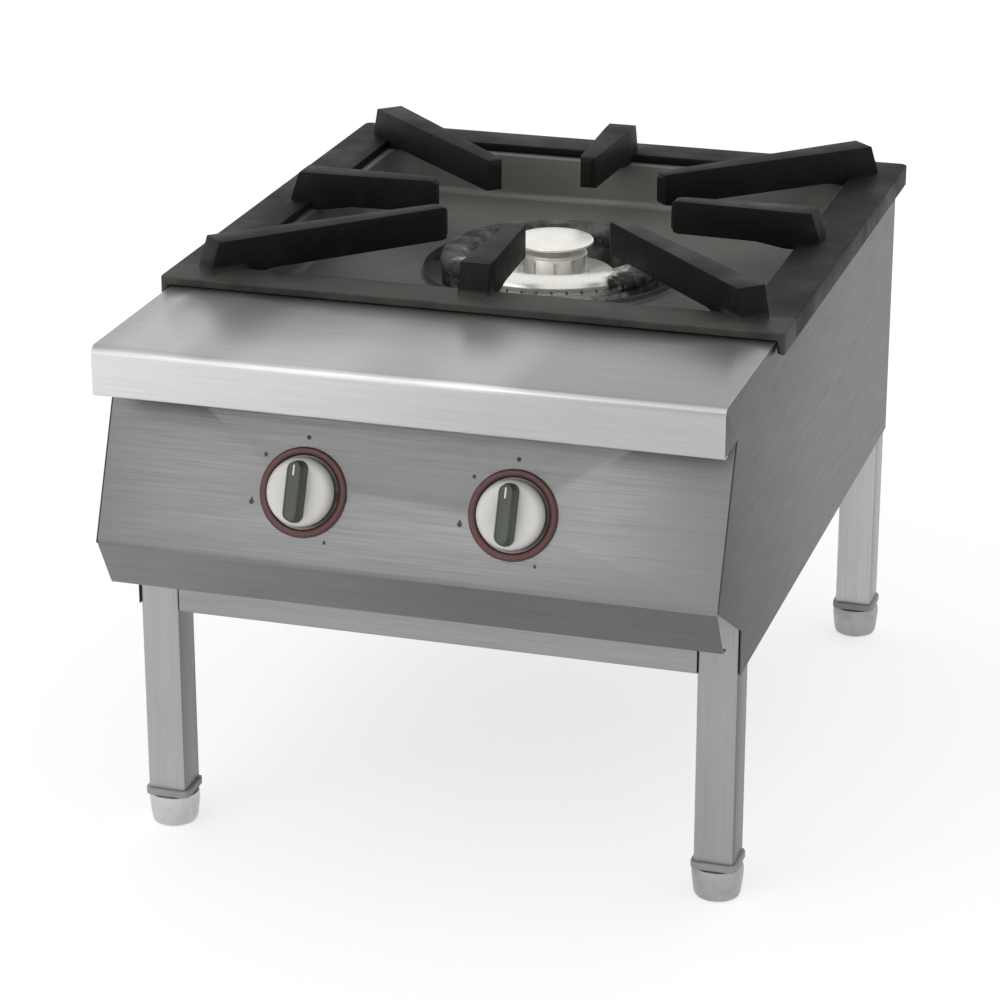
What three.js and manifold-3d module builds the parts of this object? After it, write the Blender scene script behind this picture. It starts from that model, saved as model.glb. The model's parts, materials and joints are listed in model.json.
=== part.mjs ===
// Stock pot range: a two-ring gas burner under a cast pan support, on a low stainless body
// with four square tube legs. Millimetres. +X is the cook's right, +Y the back, +Z up.
// The pieces are drawn with the floor at Z = 0 and the front apron's face at Y = 0; the last
// lines move the origin to the middle of the footprint.
import * as THREE from 'three';
import { mergeVertices } from 'three/addons/utils/BufferGeometryUtils.js';
import Module from 'manifold-3d';

const wasm = await Module();
wasm.setup();

// ---------------------------------------------------------------- driving dimensions

const fit = 0.3; // clearance between two separate pieces that touch
const bite = 1; // how far a cutting tool runs past what it cuts, or a joined one into it
const edgeBreak = 1; // chamfer on a turned or moulded edge
const roundFacets = 16;
const smallFacets = 12;
const holeFacets = 8;
const knobFacets = 24;
const ringFacets = 32;

// Body
const bodyWidth = 600;
const worktopHeight = 530;
const worktopSheet = 1.5;
const panelSheet = 1.2;
const apronHeight = 48;
const apronHem = 12;
const noseRadius = 9;
const rearFold = 20;
const flangeWidth = 12;

// Legs, base rails and feet
const legSize = 40;
const legWall = 2;
const legCorner = 4;
const legSetback = 88; // apron face to the front of the legs
const railHeight = 40;
const railDepth = 25;
const railWall = 2;
const railBottom = 234;
const sidePanelBottom = 239;
const sidePanelFrontRise = 45; // how far its vertical front edge runs up the leg
const footPadRadius = 18;
const footPadFlare = 4;
const footPadFlareHeight = 2.5;
const footRadius = 25;
const footWidestAt = 0.7; // of its height
const footShoulder = 3;
const footHeight = 34;
const footStudRadius = 6;
const footStudLength = 42;
const plugFlange = 46;
const plugFlangeHeight = 6.7;
const plugCorner = 7;
const plugDepth = 20;

// Control panel: an inclined face, and a lip folded back under it
const panelTilt = THREE.MathUtils.degToRad(22);
const panelFoldForward = 8; // the fold stands this far in front of the apron
const panelFoldDrop = 191; // worktop level down to the fold
const lipLength = 60;
const lipLean = THREE.MathUtils.degToRad(30);
const lipHem = 12;

// Pan support
const frameOverhang = 10; // past the body's sides and back
const frameRailWidth = 50;
const frameThickness = 8.5;
const frameSkirtDepth = 12; // below the worktop level
const frameSkirtWall = 8;
const frameChamfer = 1.5;
const frameCorner = 8;
const frameInnerCorner = 6;
const skirtInnerCorner = 2;
const landingDepth = 190;
const fingerCount = 8;
const fingerTipRadius = 125;
const fingerTipWidth = 17;
const fingerTipChamfer = 4;
const fingerRootWidth = 30;
const fingerRise = 30; // finger tops above the frame
const fingerDepth = 34;
const fingerHeelStart = 45; // inside the rail, where the underside starts down to it
const fingerHeelEnd = 15;
const fingerSeat = 12; // how far a finger's top runs out over its rail
const fingerEndSlope = 10;
const fingerChamfer = 3;

// Drip tray
const traySheet = 1;
const trayOpeningInset = 4; // inside the frame's rails
const trayFlange = 16;
const trayDrop = 49; // worktop level down to the tray's underside
const trayPlay = 2; // round the bowl in the worktop's opening
const trayCorner = 30;
const trayHoleGap = 17; // outer cap's edge to the hole
const trayLipHeight = 9;

// Burners, about one upright axis
const tubeAxisDrop = 105; // worktop level down to the mixing tubes' axis
const outerRingInner = 84;
const outerRingOuter = 116;
const outerRingRise = 31; // tube axis up to the underside of the outer ring
const outerRingHeight = 36;
const ringFoot = 3; // chamfer round the ring's underside, across and up
const ringFootHeight = 5;
const ringStep = 4; // step under the cap, across and down
const outerCapHeight = 14;
const outerPortCount = 16;
const capOverhang = 1;
const capSide = 7;
const capShoulder = 6;
const capCrown = 10;
const innerBaseRadius = 64;
const innerBaseRise = 47; // tube axis up to the underside of the inner base
const innerBaseHeight = 10;
const innerBaseEdge = 2;
const innerHeadRadius = 35;
const innerHeadHeight = 21;
const headFillet = 3;
const headPortSill = 6; // inner base up to the ports
const innerPortCount = 10;
const innerCapRadius = 41.5;
const innerCapHeight = 16;
const innerCapSeat = 3; // inset of the cap's underside in the head
const innerCapRim = 5; // cap's rim above its underside, and its edge below its top
const innerCapDome = 0.6; // of its radius, where the crown levels out
const portWidth = 3;
const portHeight = 4;
const portReach = 8; // how far a port's cutter runs past a wall
const stemRadius = 22;
const stemTaper = 4;
const stemTaperHeight = 20;
const armCount = 3;
const armWidth = 12;
const armInnerRadius = 48;
const armHeight = 9;

// Mixing tubes, air shutters and injectors
const mixerRadius = 18;
const elbowUpRadius = 16; // where the outer mixing tube turns up into its ring
const mixerBore = 14;
const mixerThroat = 11;
const mouthRadius = 27;
const mouthSetback = 212; // apron face to the mouths
const mouthPlate = 4;
const mouthWall = 3;
const mouthRim = 10;
const bellLength = 32; // rim to the tube's outer wall
const throatPlace = 35; // rim to the throat
const throatTaper = 50;
const mixerEndWall = 8;
const airHoleRadius = 7;
const airHoleCircle = 17;
const airHoleCount = 4;
const shutterThickness = 2;
const shutterTabWidth = 8;
const shutterTabReach = 8;
const injectorRadius = 6;
const injectorHexRadius = 9;
const injectorHexLength = 10;
const injectorLength = 23; // its nut's end to its hexagon's
const injectorNutRadius = 7.5;
const nozzleLength = 9; // inside the mouth's plate
const nozzleRadius = 2.5; // at its tip
const outerMixerOffset = -98; // across, from the burner axis

// Burner supports
const upperRailDrop = 35; // tube axis down to the top of the burner rails
const upperRailSize = 25;
const bracketWidth = 30;
const bracketSheet = 2.5;
const bracketEnds = 1; // short of the rails' outer faces
const frontBracketSetback = 350;
const rearBracketOffset = 100; // behind the burner axis

// Gas train, measured square to the control panel
const knobSpacing = 202;
const knobDrop = 128; // worktop level down to the knobs
const spindleRadius = 4;
const spindleHoleRadius = 6.5;
const spindleReach = 25;
const spindleInside = 30;
const spindleFlatLength = 12;
const knobRadius = 32;
const knobStandoff = 4.5;
const knobSkirtHeight = 14;
const knobDraft = 0.5;
const knobShoulder = 3;
const knobCrown = 5;
const gripWidth = 14;
const gripLength = 58;
const gripHeight = 17;
const gripCrown = 3; // height of its rounded top
const gripTaper = 2; // how far the flanks lean in over it
const bezelInner = 34.5;
const bezelOuter = 42.5;
const bezelThickness = 2.5;
const collarRadius = 8;
const collarThickness = 3;
const collarDepth = 8;
const bonnetRadius = 15;
const bonnetDepth = 16;
const bonnetLength = 6;
const valveRadius = 13;
const valveBlockDepth = 58;
const valveBlockLength = 26;
const valveBlockWidth = 30;
const valveBlockHeight = 28;
const valveSocket = 8; // past the spindle's end
const saddleLength = 21;
const saddleTop = 12; // below the valve's axis
const outletRadius = 7;
const outletReach = 27;
const outletRoot = 12;
const outletNut = 8;
const magnetRadius = 9;
const magnetLength = 22;
const pipeRadius = 10.65;
const pipeBore = 8;
const pipeDrop = 27; // manifold axis below the valve axis
const pipeDepth = 66; // manifold axis behind the panel face
const pipeEngagement = 8;
const endPlugWall = 3;
const endPlugLength = 14;
const endPlugFloor = 8;
const locknutRadius = 17.5;
const locknutHeight = 7;
const clampWall = 4;
const standWidth = 18;
const standFoot = 21; // along the front rail's depth
const standSheet = 3;
const standGap = 1; // clear of the end plug and the elbow
const manifoldLeft = -150;
const inletGap = 20.5; // inner face of a leg to the inlet pipe's axis
const inletReach = 22; // how far the gas inlet stands out at the back
const elbowRadius = 20;
const elbowWall = 3.5;
const elbowStraight = 12;
const supplyRadius = 4;

// Pilot
const pilotCircle = 74;
const pilotBearing = THREE.MathUtils.degToRad(45); // from the front towards +X
const pilotRadius = 4;
const pilotHeight = 56;
const pilotRise = 5; // tube axis up to the pilot's lower end
const pilotTubeRadius = 2;
const pilotCollar = 2; // wider than the stem
const pilotCollarHeight = 4;
const pilotHead = 1.5; // wider than the stem
const pilotHeadHeight = 8;
const plateMargin = 9; // round the pilot's and the sensor's holes
const plateSeat = 20; // how far the plate laps under the ring
const probeTail = 18; // below the plate
const probeRadius = 3;
const leadRadius = 1.6;
const probeOffset = 15;
const probeLead = 4; // the flame sensor's tip above the pilot's
const pilotPlate = 2.3;

// ---------------------------------------------------------------- derived places

const frameSide = bodyWidth + 2 * frameOverhang;
const bodyDepth = landingDepth + frameSide - frameOverhang;
const worktopUnderside = worktopHeight - worktopSheet;
const structureTop = worktopUnderside - fit;
const panelInset = bodyWidth / 2 - panelSheet; // inner face of a side panel
const legOuter = panelInset - fit;
const legInner = legOuter - legSize;
const backOuter = bodyDepth - worktopSheet - fit; // outer face of the back panel
const legRearFace = backOuter - panelSheet - fit;
const legBottom = footHeight + fit + plugFlangeHeight + fit;
const frameCentre = landingDepth + frameSide / 2;
const frameBottom = worktopHeight + fit + traySheet + fit;
const frameTop = frameBottom + frameThickness;
const frameInner = frameSide / 2 - frameRailWidth;
const fingerTop = frameTop + fingerRise;
const trayOpening = 2 * (frameInner - trayOpeningInset);
const trayFloorHeight = worktopHeight - trayDrop;
const tubeAxisHeight = worktopHeight - tubeAxisDrop;
const upperRailTop = tubeAxisHeight - upperRailDrop;
const outerRingBottom = tubeAxisHeight + outerRingRise;
const outerRingTop = outerRingBottom + outerRingHeight;
const outerCapTop = outerRingTop + fit + outerCapHeight;
const outerCapOuter = outerRingOuter + capOverhang;
const outerCapInner = outerRingInner - capOverhang;
const trayHoleRadius = outerCapOuter + trayHoleGap;
const innerBaseBottom = tubeAxisHeight + innerBaseRise;
const innerHeadTop = innerBaseBottom + innerBaseHeight + innerHeadHeight;
const pilotBottom = tubeAxisHeight + pilotRise;
const pilotTop = pilotBottom + pilotHeight;
const probeTop = pilotTop + probeLead;
const knobHeight = worktopHeight - knobDrop;
const inletAcross = legInner - inletGap;

const panelFold = new THREE.Vector2(-panelFoldForward, worktopHeight - panelFoldDrop);
const panelFaceAt = (height) => panelFold.x + (height - panelFold.y) * Math.tan(panelTilt);
const lipEnd = new THREE.Vector2(
  panelFold.x + lipLength * Math.sin(lipLean),
  panelFold.y - lipLength * Math.cos(lipLean),
);

// ---------------------------------------------------------------- materials

const steel = { color: 0xa9abad, roughness: 0.35, metalness: 0.9 };
const brightSteel = { color: 0xc9cbce, roughness: 0.25, metalness: 0.95 };
const enamel = { color: 0x1c1d1e, roughness: 0.45, metalness: 0.1 };
const castIron = { color: 0x3a3a38, roughness: 0.7, metalness: 0.4 };
const aluminium = { color: 0xd5d5d0, roughness: 0.3, metalness: 0.9 };
const brass = { color: 0xb08d4a, roughness: 0.35, metalness: 0.9 };
const galvanised = { color: 0x8c9094, roughness: 0.5, metalness: 0.8 };
const copper = { color: 0xb0714e, roughness: 0.35, metalness: 0.9 };
const silverPlastic = { color: 0xc6c7c5, roughness: 0.35, metalness: 0.3 };
const blackPlastic = { color: 0x23261f, roughness: 0.5, metalness: 0 };
const redPlastic = { color: 0x7d1f22, roughness: 0.45, metalness: 0 };
const greyPlastic = { color: 0x77787a, roughness: 0.6, metalness: 0 };

// ---------------------------------------------------------------- geometry helpers

// Faces of a closed mesh turned outwards, whichever way its profile was drawn.
function turnedOutwards(positions, triangles) {
  const a = new THREE.Vector3();
  const b = new THREE.Vector3();
  const c = new THREE.Vector3();
  let volume = 0;
  for (let i = 0; i < triangles.length; i += 3) {
    a.fromArray(positions, 3 * triangles[i]);
    b.fromArray(positions, 3 * triangles[i + 1]);
    c.fromArray(positions, 3 * triangles[i + 2]);
    volume += a.dot(b.cross(c));
  }
  if (volume >= 0) return triangles;
  return triangles.map((_, i) => triangles[i - (i % 3) + (2 - (i % 3))]);
}

function toSolid(geometry) {
  const bare = geometry.clone();
  bare.deleteAttribute('normal');
  bare.deleteAttribute('uv');
  const merged = mergeVertices(bare, 1e-4);
  const vertProperties = merged.attributes.position.array;
  const triVerts = turnedOutwards(vertProperties, new Uint32Array(merged.index.array));
  return new wasm.Manifold(new wasm.Mesh({ numProp: 3, vertProperties, triVerts }));
}

function toGeometry(solid) {
  const { vertProperties, triVerts } = solid.getMesh();
  const geometry = new THREE.BufferGeometry();
  geometry.setAttribute('position', new THREE.BufferAttribute(vertProperties, 3));
  geometry.setIndex(new THREE.BufferAttribute(triVerts, 1));
  geometry.computeVertexNormals();
  return geometry;
}

const join = (first, ...others) => toGeometry(
  others.reduce((sum, other) => sum.add(toSolid(other)), toSolid(first)),
);
const cut = (body, ...tools) => toGeometry(
  tools.reduce((rest, tool) => rest.subtract(toSolid(tool)), toSolid(body)),
);
const overlap = (first, second) => toGeometry(toSolid(first).intersect(toSolid(second)));

// A box between two opposite corners.
function block(low, high) {
  const size = high.map((value, i) => value - low[i]);
  const middle = high.map((value, i) => (value + low[i]) / 2);
  return new THREE.BoxGeometry(...size).translate(...middle);
}

// A cylinder along Z.
function rod(radius, bottom, top, segments = roundFacets) {
  return new THREE.CylinderGeometry(radius, radius, top - bottom, segments)
    .rotateX(Math.PI / 2)
    .translate(0, 0, (top + bottom) / 2);
}

// A hexagonal bar along Z, by its corner radius.
const hexBar = (radius, bottom, top) => rod(radius, bottom, top, 6);

// A profile of [radius, height] points turned about Z.
function turned(profile, segments = roundFacets) {
  const points = profile.map(([radius, height]) => new THREE.Vector2(radius, height));
  return new THREE.LatheGeometry(points, segments).rotateX(Math.PI / 2);
}

// The same, for a ring whose profile closes on itself.
const turnedRing = (profile, segments = roundFacets) => turned([...profile, profile[0]], segments);

// An outline in plan, standing from one height to another.
function raised(shape, bottom, top, curveSegments = 1) {
  return new THREE.ExtrudeGeometry(shape, {
    depth: top - bottom, bevelEnabled: false, curveSegments,
  }).translate(0, 0, bottom);
}

// A section drawn in Y and Z, run along X between two stations.
function runAcross(shape, left, right) {
  const geometry = new THREE.ExtrudeGeometry(shape, {
    depth: right - left, bevelEnabled: false, curveSegments: 1,
  });
  const sectionToWorld = new THREE.Matrix4().makeBasis(
    new THREE.Vector3(0, 1, 0),
    new THREE.Vector3(0, 0, 1),
    new THREE.Vector3(1, 0, 0),
  );
  return geometry.applyMatrix4(sectionToWorld).translate(left, 0, 0);
}

function roundedRectangle(width, height, radius) {
  const x = width / 2 - radius;
  const y = height / 2 - radius;
  const shape = new THREE.Shape();
  shape.absarc(x, y, radius, 0, Math.PI / 2);
  shape.absarc(-x, y, radius, Math.PI / 2, Math.PI);
  shape.absarc(-x, -y, radius, Math.PI, 1.5 * Math.PI);
  shape.absarc(x, -y, radius, 1.5 * Math.PI, 2 * Math.PI);
  return shape;
}

function withHoles(shape, ...holes) {
  shape.holes.push(...holes);
  return shape;
}

// A line whose inner corners are rounded to one radius.
function rounded(line, radius, segments = 4) {
  const result = [line[0]];
  for (let i = 1; i < line.length - 1; i += 1) {
    const back = line[i - 1].clone().sub(line[i]).normalize();
    const ahead = line[i + 1].clone().sub(line[i]).normalize();
    const half = Math.acos(THREE.MathUtils.clamp(back.dot(ahead), -1, 1)) / 2;
    const reach = radius / Math.tan(half);
    const bend = new THREE.QuadraticBezierCurve(
      line[i].clone().addScaledVector(back, reach),
      line[i],
      line[i].clone().addScaledVector(ahead, reach),
    );
    result.push(...bend.getPoints(segments));
  }
  result.push(line[line.length - 1]);
  return result;
}

// The section of a folded sheet: its outer line, and the wall on the line's left.
function foldedSheet(line, thickness) {
  const directions = line.slice(1).map((point, i) => point.clone().sub(line[i]).normalize());
  const inner = line.map((point, i) => {
    const before = directions[Math.max(i - 1, 0)];
    const after = directions[Math.min(i, directions.length - 1)];
    const mitre = new THREE.Vector2(-before.y - after.y, before.x + after.x);
    return point.clone().addScaledVector(mitre, thickness / (1 + before.dot(after)));
  });
  return new THREE.Shape([...line, ...inner.reverse()]);
}

const squareTube = (width, height, wall) => withHoles(
  roundedRectangle(width, height, legCorner),
  roundedRectangle(width - 2 * wall, height - 2 * wall, legCorner - wall),
);

// A round bar along a smooth line through some points.
function tubeAlong(points, radius, sides, steps) {
  return new THREE.ExtrudeGeometry(new THREE.Shape().absarc(0, 0, radius, 0, 2 * Math.PI), {
    steps,
    bevelEnabled: false,
    curveSegments: sides / 2,
    extrudePath: new THREE.CatmullRomCurve3(points.map((point) => new THREE.Vector3(...point))),
  });
}

// Copies of a tool spaced evenly about Z.
const aroundAxis = (geometry, count, start = 0) => Array.from(
  { length: count },
  (_, i) => geometry.clone().rotateZ(start + (2 * Math.PI * i) / count),
);

const range = new THREE.Group();

function piece(name, geometry, finish, parent = range) {
  const mesh = new THREE.Mesh(toGeometry(toSolid(geometry)), new THREE.MeshStandardMaterial(finish));
  mesh.name = name;
  parent.add(mesh);
  return mesh;
}

const sides = [['left', -1], ['right', 1]];

// ---------------------------------------------------------------- legs, rails and feet

const legShape = squareTube(legSize, legSize, legWall);
const legCentre = legOuter - legSize / 2;
const legRows = [
  ['front', legSetback + legSize / 2],
  ['rear', legRearFace - legSize / 2],
];

function plugGeometry() {
  const insert = legSize - 2 * legWall - 2 * fit;
  const flange = raised(
    roundedRectangle(plugFlange, plugFlange, plugCorner),
    footHeight + fit,
    legBottom - fit,
  );
  const core = raised(
    roundedRectangle(insert, insert, legCorner - legWall),
    legBottom - fit - bite,
    legBottom + plugDepth,
  );
  const bore = rod(footStudRadius + fit, footHeight - bite, legBottom + plugDepth + bite);
  return cut(join(flange, core), bore);
}

// A bullet foot: a pad, a swelling body and a stud that turns in the plug.
function footGeometry() {
  const studTop = footHeight + footStudLength;
  return turned([
    [0, 0],
    [footPadRadius, 0],
    [footPadRadius + footPadFlare, footPadFlareHeight],
    [footRadius, footHeight * footWidestAt],
    [footRadius - edgeBreak, footHeight - edgeBreak],
    [footRadius - footShoulder, footHeight],
    [footStudRadius, footHeight],
    [footStudRadius, studTop - edgeBreak],
    [footStudRadius - edgeBreak, studTop],
    [0, studTop],
  ]);
}

for (const [row, legY] of legRows) {
  for (const [side, sign] of sides) {
    const corner = new THREE.Group();
    corner.position.set(sign * legCentre, legY, 0);
    range.add(corner);
    piece(`leg_${row}_${side}`, raised(legShape, legBottom, structureTop), steel, corner);
    piece(`foot_plug_${row}_${side}`, plugGeometry(), greyPlastic, corner);
    piece(`levelling_foot_${row}_${side}`, footGeometry(), steel, corner);
  }
}

// Base rails run between the legs, flush with their outer faces.
const railShape = squareTube(railDepth, railHeight, railWall);
const crossRailHalf = legInner - fit;
const sideRailFront = legSetback + legSize + fit;
const sideRailRear = legRearFace - legSize - fit;

const railAcross = (centreY) => runAcross(railShape, -crossRailHalf, crossRailHalf)
  .translate(0, centreY, railBottom + railHeight / 2);

const railAlong = (shape, centreX, centreZ) => raised(shape, 0, sideRailRear - sideRailFront)
  .rotateX(-Math.PI / 2)
  .translate(centreX, sideRailFront, centreZ);

piece('base_rail_front', railAcross(legSetback + railDepth / 2), steel);
piece('base_rail_rear', railAcross(legRearFace - railDepth / 2), steel);
for (const [side, sign] of sides) {
  const baseX = sign * (legOuter - railDepth / 2);
  piece(`base_rail_${side}`, railAlong(railShape, baseX, railBottom + railHeight / 2), steel);
  const upperShape = squareTube(upperRailSize, upperRailSize, railWall);
  const upperX = sign * (legOuter - upperRailSize / 2);
  const upperZ = upperRailTop - upperRailSize / 2;
  piece(`burner_rail_${side}`, railAlong(upperShape, upperX, upperZ), galvanised);
}

// ---------------------------------------------------------------- sheet panels

// Worktop: front hem, apron, landing and rear fold in one sheet, with the tray opening.
const apronNose = rounded([
  new THREE.Vector2(0, worktopHeight - apronHeight),
  new THREE.Vector2(0, worktopHeight),
  new THREE.Vector2(bodyDepth, worktopHeight),
], noseRadius, 6);
const worktopSection = foldedSheet(
  [
    new THREE.Vector2(apronHem, worktopHeight - apronHeight),
    ...apronNose,
    new THREE.Vector2(bodyDepth, worktopHeight - rearFold),
  ].reverse(),
  worktopSheet,
);
const trayCutter = raised(
  roundedRectangle(trayOpening, trayOpening, trayCorner),
  worktopUnderside - bite,
  worktopHeight + bite,
  2,
).translate(0, frameCentre, 0);
piece(
  'worktop',
  cut(runAcross(worktopSection, -bodyWidth / 2, bodyWidth / 2), trayCutter),
  brightSteel,
);

// Side panel: one flat sheet whose outline follows the nose, the control panel and the legs.
const noseInside = worktopSheet + fit;
const noseStart = 2 * noseRadius; // well behind the bend
const noseBottom = worktopHeight - apronHeight + worktopSheet + fit;
const sideLine = [
  new THREE.Vector2(backOuter, sidePanelBottom),
  new THREE.Vector2(backOuter, structureTop),
  ...rounded([
    new THREE.Vector2(noseStart, structureTop),
    new THREE.Vector2(noseInside, structureTop),
    new THREE.Vector2(noseInside, noseBottom + 1),
  ], noseRadius - noseInside, 6).slice(1),
  new THREE.Vector2(noseInside, noseBottom),
  new THREE.Vector2(panelFaceAt(noseBottom), noseBottom),
  panelFold,
  new THREE.Vector2(legSetback, sidePanelBottom + sidePanelFrontRise),
  new THREE.Vector2(legSetback, sidePanelBottom),
];
const panelDirection = new THREE.Vector2(Math.sin(panelTilt), Math.cos(panelTilt));
const panelInward = new THREE.Vector2(panelDirection.y, -panelDirection.x);

// The inward flange that the control panel is screwed to, seen in Y and Z.
function sideFlangeShape() {
  const low = panelFold.clone()
    .addScaledVector(panelInward, panelSheet + fit)
    .addScaledVector(panelDirection, flangeWidth);
  const length = (noseBottom - low.y) / panelDirection.y - flangeWidth;
  const high = low.clone().addScaledVector(panelDirection, length);
  return new THREE.Shape([
    low,
    high,
    high.clone().addScaledVector(panelInward, panelSheet),
    low.clone().addScaledVector(panelInward, panelSheet),
  ]);
}

for (const [side, sign] of sides) {
  const sheetEdges = [sign * panelInset, sign * (bodyWidth / 2)].sort((a, b) => a - b);
  const flangeEdges = [sign * (panelInset - flangeWidth), sign * (panelInset + panelSheet / 2)]
    .sort((a, b) => a - b);
  const outline = runAcross(new THREE.Shape(sideLine), ...sheetEdges);
  const flange = runAcross(sideFlangeShape(), ...flangeEdges);
  piece(`side_panel_${side}`, join(outline, flange), steel);
}

// Back panel: flat, between the side panels, with two rows of vents and the gas inlet hole.
const backHalf = panelInset - fit;
const ventRows = 2;
const ventColumns = 5;
const ventPitch = 84;
const ventLength = 62;
const ventHeight = 7;
const ventRowPitch = 24;
const ventDrop = 50;
const ventTop = worktopHeight - ventDrop;
const inletHoleMargin = 1.5;
const manifoldPlace = new THREE.Vector2(
  panelFaceAt(knobHeight) + pipeDepth * Math.cos(panelTilt) - pipeDrop * Math.sin(panelTilt),
  knobHeight - pipeDepth * Math.sin(panelTilt) - pipeDrop * Math.cos(panelTilt),
);

function backPanelGeometry() {
  const outline = new THREE.Shape([
    new THREE.Vector2(-backHalf, sidePanelBottom),
    new THREE.Vector2(backHalf, sidePanelBottom),
    new THREE.Vector2(backHalf, structureTop),
    new THREE.Vector2(-backHalf, structureTop),
  ]);
  for (let row = 0; row < ventRows; row += 1) {
    for (let column = 0; column < ventColumns; column += 1) {
      const x = (column - (ventColumns - 1) / 2) * ventPitch;
      const z = ventTop - row * ventRowPitch;
      const slot = roundedRectangle(ventLength, ventHeight, ventHeight / 2 - 0.01);
      outline.holes.push(new THREE.Path(slot.getPoints(1).map(
        (point) => new THREE.Vector2(point.x + x, point.y + z),
      )));
    }
  }
  outline.holes.push(new THREE.Path().absarc(
    -inletAcross,
    manifoldPlace.y,
    pipeRadius + inletHoleMargin,
    0,
    2 * Math.PI,
  ));
  return new THREE.ExtrudeGeometry(outline, {
    depth: panelSheet, bevelEnabled: false, curveSegments: smallFacets / 2,
  })
    .rotateX(Math.PI / 2)
    .rotateZ(Math.PI)
    .translate(0, backOuter - panelSheet, 0);
}

piece('back_panel', backPanelGeometry(), galvanised);

// Control panel: top flange, inclined face, lip and hem in one sheet.
const controlTop = new THREE.Vector2(panelFaceAt(structureTop), structureTop);
const controlSection = foldedSheet([
  new THREE.Vector2(controlTop.x + flangeWidth, structureTop),
  controlTop,
  panelFold,
  lipEnd,
  new THREE.Vector2(lipEnd.x + lipHem, lipEnd.y),
], panelSheet);

// The frame of one knob: Z stands out square from the panel's face, Y runs up it.
function knobFrame(sign) {
  return new THREE.Matrix4()
    .makeTranslation((sign * knobSpacing) / 2, panelFaceAt(knobHeight), knobHeight)
    .multiply(new THREE.Matrix4().makeRotationX(Math.PI / 2 - panelTilt));
}

const spindleHoles = sides.map(([, sign]) => rod(spindleHoleRadius, -flangeWidth, flangeWidth)
  .applyMatrix4(knobFrame(sign)));
piece('control_panel', cut(runAcross(controlSection, -backHalf, backHalf), ...spindleHoles), steel);

// ---------------------------------------------------------------- pan support

// The finger's outline in plan, tip towards the centre, root over the rail.
function fingerGeometry(railDistance) {
  const reach = railDistance + fingerSeat;
  const end = reach + fingerEndSlope;
  const tip = fingerTipWidth / 2;
  const root = fingerRootWidth / 2;
  const plan = new THREE.Shape([
    new THREE.Vector2(tip - fingerTipChamfer, fingerTipRadius),
    new THREE.Vector2(tip, fingerTipRadius + fingerTipChamfer),
    new THREE.Vector2(root, railDistance),
    new THREE.Vector2(root, end),
    new THREE.Vector2(-root, end),
    new THREE.Vector2(-root, railDistance),
    new THREE.Vector2(-tip, fingerTipRadius + fingerTipChamfer),
    new THREE.Vector2(fingerTipChamfer - tip, fingerTipRadius),
  ]);
  const bar = new THREE.ExtrudeGeometry(plan, {
    depth: fingerTop - frameBottom,
    bevelThickness: fingerChamfer,
    bevelSize: fingerChamfer,
    bevelOffset: -fingerChamfer,
    bevelSegments: 1,
    steps: 1,
  }).translate(0, 0, frameBottom - fingerChamfer);
  const underside = fingerTop - fingerDepth;
  const side = new THREE.Shape([
    new THREE.Vector2(fingerTipRadius - bite, underside),
    new THREE.Vector2(railDistance - fingerHeelStart, underside),
    new THREE.Vector2(railDistance - fingerHeelEnd, frameBottom),
    new THREE.Vector2(end + bite, frameBottom),
    new THREE.Vector2(end + bite, frameTop - fingerChamfer),
    new THREE.Vector2(end, frameTop),
    new THREE.Vector2(reach, fingerTop),
    new THREE.Vector2(fingerTipRadius - bite, fingerTop),
  ]);
  return overlap(bar, runAcross(side, -fingerRootWidth, fingerRootWidth));
}

function panSupportGeometry() {
  const opening = new THREE.Path(
    roundedRectangle(2 * frameInner, 2 * frameInner, frameInnerCorner).getPoints(2),
  );
  const outline = withHoles(roundedRectangle(frameSide, frameSide, frameCorner), opening);
  const rails = new THREE.ExtrudeGeometry(outline, {
    depth: frameThickness - 2 * frameChamfer,
    bevelThickness: frameChamfer,
    bevelSize: frameChamfer,
    bevelOffset: -frameChamfer,
    bevelSegments: 1,
    curveSegments: 2,
  }).translate(0, 0, frameBottom + frameChamfer);
  const skirtInner = frameSide - 2 * frameSkirtWall;
  const skirtOutline = withHoles(
    roundedRectangle(frameSide, frameSide, frameCorner),
    new THREE.Path(roundedRectangle(skirtInner, skirtInner, skirtInnerCorner).getPoints(1)),
  );
  const skirtBottom = worktopHeight - frameSkirtDepth;
  const skirt = raised(skirtOutline, skirtBottom, frameTop - frameChamfer - bite, 2);
  const frontOpening = block(
    [-skirtInner / 2, -frameSide / 2 - bite, skirtBottom - bite],
    [skirtInner / 2, -skirtInner / 2 + bite, frameBottom],
  );
  const fingers = Array.from({ length: fingerCount }, (_, i) => {
    const bearing = (2 * Math.PI * i) / fingerCount;
    const towardsRail = Math.max(Math.abs(Math.sin(bearing)), Math.abs(Math.cos(bearing)));
    return fingerGeometry(frameInner / towardsRail).rotateZ(bearing);
  });
  return join(cut(join(rails, skirt), frontOpening), ...fingers);
}

const support = piece('pan_support', panSupportGeometry(), enamel);
support.position.set(0, frameCentre, 0);

// ---------------------------------------------------------------- drip tray

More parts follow.
